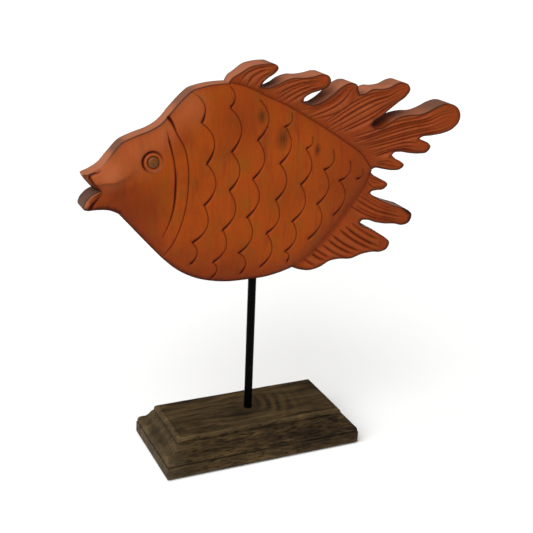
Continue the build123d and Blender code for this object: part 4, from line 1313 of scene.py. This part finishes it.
def plinth_wood(colours):
    """Scraped hardwood under a dark olive-brown stain: wavy grain along the plinth, short open pores that hold
    dark stain, and top edges rubbed pale."""
    material, tree, shader, place = new_material("dark_stained_hardwood")
    marks = {
        name: add_node(tree, "ShaderNodeAttribute", attribute_name=name).outputs["Fac"]
        for name in ("wear", "wax", "top")
    }
    noises = {}
    for name, (along, across, detail, roughness, distortion) in GRAIN_NOISES.items():
        scale = (1 / (along * MM), 1 / (across * MM), 1 / (across * MM))
        drawn = add_node(tree, "ShaderNodeMapping", {0: place, "Scale": scale})
        noises[name] = add_node(
            tree, "ShaderNodeTexNoise",
            {"Vector": drawn, "Scale": 1.0, "Detail": detail, "Roughness": roughness, "Distortion": distortion})

    # Bands of grain that sway
    lengthwise = add_node(
        tree, "ShaderNodeMapping", {0: place, "Scale": (1 / (90 * MM), 1 / (7 * MM), 1 / (7 * MM))})
    push = add_node(
        tree, "ShaderNodeVectorMath", {0: noises["sway"].outputs["Color"], 1: (0.6, 2.6, 2.6)},
        operation="MULTIPLY")
    warped = add_node(tree, "ShaderNodeVectorMath", {0: lengthwise, 1: push.outputs[0]}, operation="ADD")
    bands = add_node(
        tree, "ShaderNodeTexNoise", {"Vector": warped.outputs[0], "Scale": 1.0, "Detail": 5.0, "Roughness": 0.62})
    tone = add_node(tree, "ShaderNodeMapRange", {0: bands, 1: 0.34, 2: 0.68, 3: 0.0, 4: 1.0})
    base = add_node(
        tree, "ShaderNodeMix", {0: tone, 6: colours.plinth_dark, 7: colours.plinth_light}, data_type="RGBA")

    # Dark clouds, light fibres, pores that are more open on the sides, and a left end painted paler as lit end
    # grain
    shade = add_node(tree, "ShaderNodeMapRange", {0: noises["cloud"], 1: 0.48, 2: 0.68, 3: 0.0, 4: 0.7})
    raised = add_node(tree, "ShaderNodeMapRange", {0: marks["top"], 1: 0.0, 2: 1.0, 3: 0.7, 4: 0.4})
    light = add_node(tree, "ShaderNodeMapRange", {0: noises["fibre"], 1: 0.52, 2: 0.75, 3: 0.0, 4: raised})
    open_grain = add_node(tree, "ShaderNodeMapRange", {0: marks["top"], 1: 0.0, 2: 1.0, 3: 0.9, 4: 0.3})
    pits = add_node(tree, "ShaderNodeMapRange", {0: noises["pores"], 1: 0.5, 2: 0.38, 3: 0.0, 4: open_grain})
    across = add_node(tree, "ShaderNodeSeparateXYZ", {0: place}).outputs["X"]
    lit_left_end = add_node(
        tree, "ShaderNodeMapRange", {0: across, 1: base_low.x + 24 * MM, 2: base_low.x + 6 * MM, 3: 0.0, 4: 0.2})
    layers = [
        (0.25, colours.plinth_mid), (shade, colours.plinth_dark), (light, colours.plinth_light),
        (pits, colours.plinth_pores), (lit_left_end, colours.plinth_lit_end),
    ]

    # Painted shadow and reflection of the rod round its foot, a dark stain patch beside it, and a curled figure in
    # the grain there
    for x, y, reach, amount in PLINTH_SHADOW_AND_STAIN_SPOTS:
        spot = (x * MM, y * MM, base_high.z)
        away = add_node(tree, "ShaderNodeVectorMath", {0: place, 1: spot}, operation="DISTANCE").outputs["Value"]
        shadow_and_stain_spot = add_node(
            tree, "ShaderNodeMapRange", {0: away, 1: 0.0, 2: reach * MM, 3: amount, 4: 0.0},
            interpolation_type="SMOOTHSTEP")
        layers.append((shadow_and_stain_spot, colours.plinth_dark))
    centred = add_node(
        tree, "ShaderNodeMapping",
        {0: place, "Location": (-0.5, -0.9, 0), "Scale": (1 / (9 * MM), 1 / (14 * MM), 1 / (14 * MM))})
    curls = add_node(
        tree, "ShaderNodeTexWave", {"Vector": centred, "Scale": 0.28, "Distortion": 4.0, "Detail": 3.0},
        wave_type="RINGS", rings_direction="Z")
    figure = add_node(tree, "ShaderNodeMath", {0: curls.outputs["Fac"], 1: shadow_and_stain_spot}, operation="MULTIPLY")

    # The figure shows on the top alone, wax lies in the quirks, and edges are rubbed pale
    for share, amount, colour in (
        (figure, marks["top"], colours.plinth_light), (marks["wax"], 0.75, colours.plinth_pores),
        (marks["wear"], bands, colours.plinth_worn),
    ):
        share = add_node(tree, "ShaderNodeMath", {0: share, 1: amount}, operation="MULTIPLY")
        layers.append((share, colour))
    for share, colour in layers:
        base = add_node(tree, "ShaderNodeMix", {0: share, 6: base, 7: colour}, data_type="RGBA")
    height = add_node(tree, "ShaderNodeMath", {0: noises["pores"], 1: bands}, operation="ADD")
    join_finish(tree, shader, base, bands, (0.68, 0.5), height, 0.7, 1.2 * MM)
    shader.inputs["Specular IOR Level"].default_value = 0.05
    return material


class CarvedFishPlinth(bpy.types.Operator):
    """Mould the plinth and drill it for the rod"""

    bl_idname = "carved_fish.plinth"
    bl_label = "Plinth"

    def execute(self, context):
        sizes = context.scene.carved_fish_sizes
        plinth = plinth_mesh(sizes)
        plinth.data.materials.append(plinth_wood(context.scene.carved_fish_colours))
        bit = drill(plinth, rod_high.x + sizes.bore_play, rod_low.z, base_high.z + DRILL_RUN)
        settle(plinth, [bit], PLINTH_CREASE)
        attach(plinth, "plinth")
        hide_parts("base")
        return {"FINISHED"}


def turned_steel(colours):
    """Zinc-plated steel, turned and stamped: a grey satin shine with fine lines and darker specks.
    The lines are drawn coarser than a tool leaves them, so that they show."""
    material, tree, shader, place = new_material("zinc_plated_steel")
    lines = add_node(tree, "ShaderNodeMapping", {0: place, "Scale": (1 / (1 * MM), 1 / (1 * MM), 1 / (0.3 * MM))})
    marks = add_node(tree, "ShaderNodeTexNoise", {"Vector": lines, "Scale": 1.0, "Detail": 3.0})
    tone = add_node(
        tree, "ShaderNodeMix", {0: marks, 6: colours.steel_dark, 7: colours.steel_light}, data_type="RGBA")
    rough = add_node(tree, "ShaderNodeMapRange", {0: marks, 1: 0.3, 2: 0.7, 3: 0.3, 4: 0.45})
    tree.links.new(tone.outputs[2], shader.inputs["Base Color"])
    tree.links.new(rough.outputs[0], shader.inputs["Roughness"])
    shader.inputs["Metallic"].default_value = 1.0
    return material


def wool_felt(colours):
    """Pressed wool felt: matt, dark, with a short tangled nap that scatters light at its edges.
    The nap is drawn coarser than wool is, so that it shows."""
    material, tree, shader, place = new_material("pressed_wool_felt")
    nap = add_node(tree, "ShaderNodeTexNoise", {"Vector": place, "Scale": 1 / (1.1 * MM), "Detail": 6.0})
    cloud = add_node(tree, "ShaderNodeTexNoise", {"Vector": place, "Scale": 1 / (18 * MM), "Detail": 2.0})
    mixed = add_node(tree, "ShaderNodeMath", {0: nap, 1: cloud}, operation="MULTIPLY")
    tone = add_node(tree, "ShaderNodeMapRange", {0: mixed, 1: 0.15, 2: 0.38, 3: 0.0, 4: 1.0})
    base = add_node(
        tree, "ShaderNodeMix", {0: tone, 6: colours.felt_dark, 7: colours.felt_light}, data_type="RGBA")
    bump = add_node(tree, "ShaderNodeBump", {"Height": nap, "Strength": 0.6, "Distance": 0.4 * MM})
    tree.links.new(base.outputs[2], shader.inputs["Base Color"])
    tree.links.new(bump.outputs[0], shader.inputs["Normal"])
    shader.inputs["Roughness"].default_value = 0.95
    shader.inputs["Sheen Weight"].default_value = 0.3
    return material


class CarvedFishUnderside(bpy.types.Operator):
    """Finish the screw, the washer and the felt below the plinth"""

    bl_idname = "carved_fish.underside"
    bl_label = "Underside"

    def execute(self, context):
        colours = context.scene.carved_fish_colours
        steel = turned_steel(colours)
        dress("base_screw", steel)
        dress("base_washer", steel)
        dress("base_felt", wool_felt(colours))
        return {"FINISHED"}


# Camera at the photograph's angle: its place, how it is turned, and its lens and sensor in millimetres
CAMERA_PLACE = Vector((-374.0, -837.5, 534.7)) * MM
CAMERA_TURN = Euler([math.radians(turn) for turn in (69.33, -2.17, -24.08)])
CAMERA_LENS, SENSOR_WIDTH = 68.73, 36.0
CLIP_START = 10 * MM

# Soft daylight from above the camera's left shoulder, in a pale room
KEY_DIRECTION = Vector((0.52, 0.38, -0.77))
KEY_STRENGTH = 5.6
KEY_SPREAD = math.radians(70)
HORIZON_LIGHT = 0.75
CEILING_LIGHT = 0.15
CEILING_START = 0.3
FLOOR_REACH = 12.0


def studio_floor(colours):
    """Painted studio floor: matt and almost white, with the faint unevenness of a roller."""
    material, tree, shader, place = new_material("pale_floor_paint")
    rolled = add_node(tree, "ShaderNodeTexNoise", {"Vector": place, "Scale": 1 / (300 * MM), "Detail": 2.0})
    tone = add_node(tree, "ShaderNodeMix", {0: rolled, 6: colours.floor, 7: colours.floor_light}, data_type="RGBA")
    tree.links.new(tone.outputs[2], shader.inputs["Base Color"])
    shader.inputs["Roughness"].default_value = 0.9
    shader.inputs["Specular IOR Level"].default_value = 0.2
    return material


class CarvedFishStage(bpy.types.Operator):
    """Set up the floor, the soft lights and the camera"""

    bl_idname = "carved_fish.stage"
    bl_label = "Stage"

    def execute(self, context):
        scene = context.scene
        corners = [(FLOOR_REACH * x, FLOOR_REACH * y, 0) for x, y in ((-1, -1), (1, -1), (1, 1), (-1, 1))]
        floor = new_piece("studio_floor", corners, [(0, 1, 2, 3)])
        floor.data.materials.append(studio_floor(scene.carved_fish_colours))

        sun = bpy.data.lights.new("soft_key", "SUN")
        sun.energy = KEY_STRENGTH
        sun.angle = KEY_SPREAD
        key = bpy.data.objects.new("soft_key", sun)
        key.rotation_euler = KEY_DIRECTION.to_track_quat("-Z", "Y").to_euler()
        scene.collection.objects.link(key)

        world = bpy.data.worlds.new("studio_light")
        world.use_nodes = True
        tree = world.node_tree
        around = add_node(tree, "ShaderNodeTexCoord").outputs["Generated"]
        height = add_node(tree, "ShaderNodeSeparateXYZ", {0: around}).outputs["Z"]
        glow = add_node(
            tree, "ShaderNodeMapRange", {0: height, 1: 0.0, 2: CEILING_START, 3: HORIZON_LIGHT, 4: CEILING_LIGHT})
        tree.links.new(glow.outputs[0], tree.nodes["Background"].inputs["Strength"])
        tree.nodes["Background"].inputs["Color"].default_value = (1.0, 1.0, 1.0, 1.0)
        scene.world = world
        scene.view_settings.view_transform = "Standard"

        lens = bpy.data.cameras.new("photo_camera")
        lens.lens = CAMERA_LENS
        lens.sensor_width = SENSOR_WIDTH
        lens.clip_start = CLIP_START
        camera = bpy.data.objects.new("photo_camera", lens)
        camera.matrix_world = Matrix.LocRotScale(CAMERA_PLACE, CAMERA_TURN, None)
        scene.collection.objects.link(camera)
        scene.camera = camera
        return {"FINISHED"}


OPERATORS = [
    CarvedFishBoard, CarvedFishEyes, CarvedFishRod, CarvedFishPlinth, CarvedFishUnderside, CarvedFishStage,
]


class CarvedFishPanel(bpy.types.Panel):
    """Sizes, colours and steps of the carved fish"""

    bl_idname = "VIEW3D_PT_carved_fish"
    bl_label = "Carved Fish"
    bl_space_type = "VIEW_3D"
    bl_region_type = "UI"
    bl_category = "Carved Fish"

    def draw(self, context):
        for step in OPERATORS:
            self.layout.operator(step.bl_idname)
        for group in (context.scene.carved_fish_sizes, context.scene.carved_fish_colours):
            column = self.layout.column()
            for name in group.bl_rna.properties.keys():
                if name not in ("rna_type", "name"):
                    column.prop(group, name)


CLASSES = [CarvedFishSizes, CarvedFishColours, *OPERATORS, CarvedFishPanel]


def register():
    for kind in CLASSES:
        bpy.utils.register_class(kind)
    bpy.types.Scene.carved_fish_sizes = PointerProperty(type=CarvedFishSizes)
    bpy.types.Scene.carved_fish_colours = PointerProperty(type=CarvedFishColours)


def unregister():
    del bpy.types.Scene.carved_fish_colours
    del bpy.types.Scene.carved_fish_sizes
    for kind in reversed(CLASSES):
        bpy.utils.unregister_class(kind)


def main():
    register()
    bpy.ops.carved_fish.board()
    bpy.ops.carved_fish.eyes()
    bpy.ops.carved_fish.rod()
    bpy.ops.carved_fish.plinth()
    bpy.ops.carved_fish.underside()
    bpy.ops.carved_fish.stage()


if __name__ == "__main__":
    main()
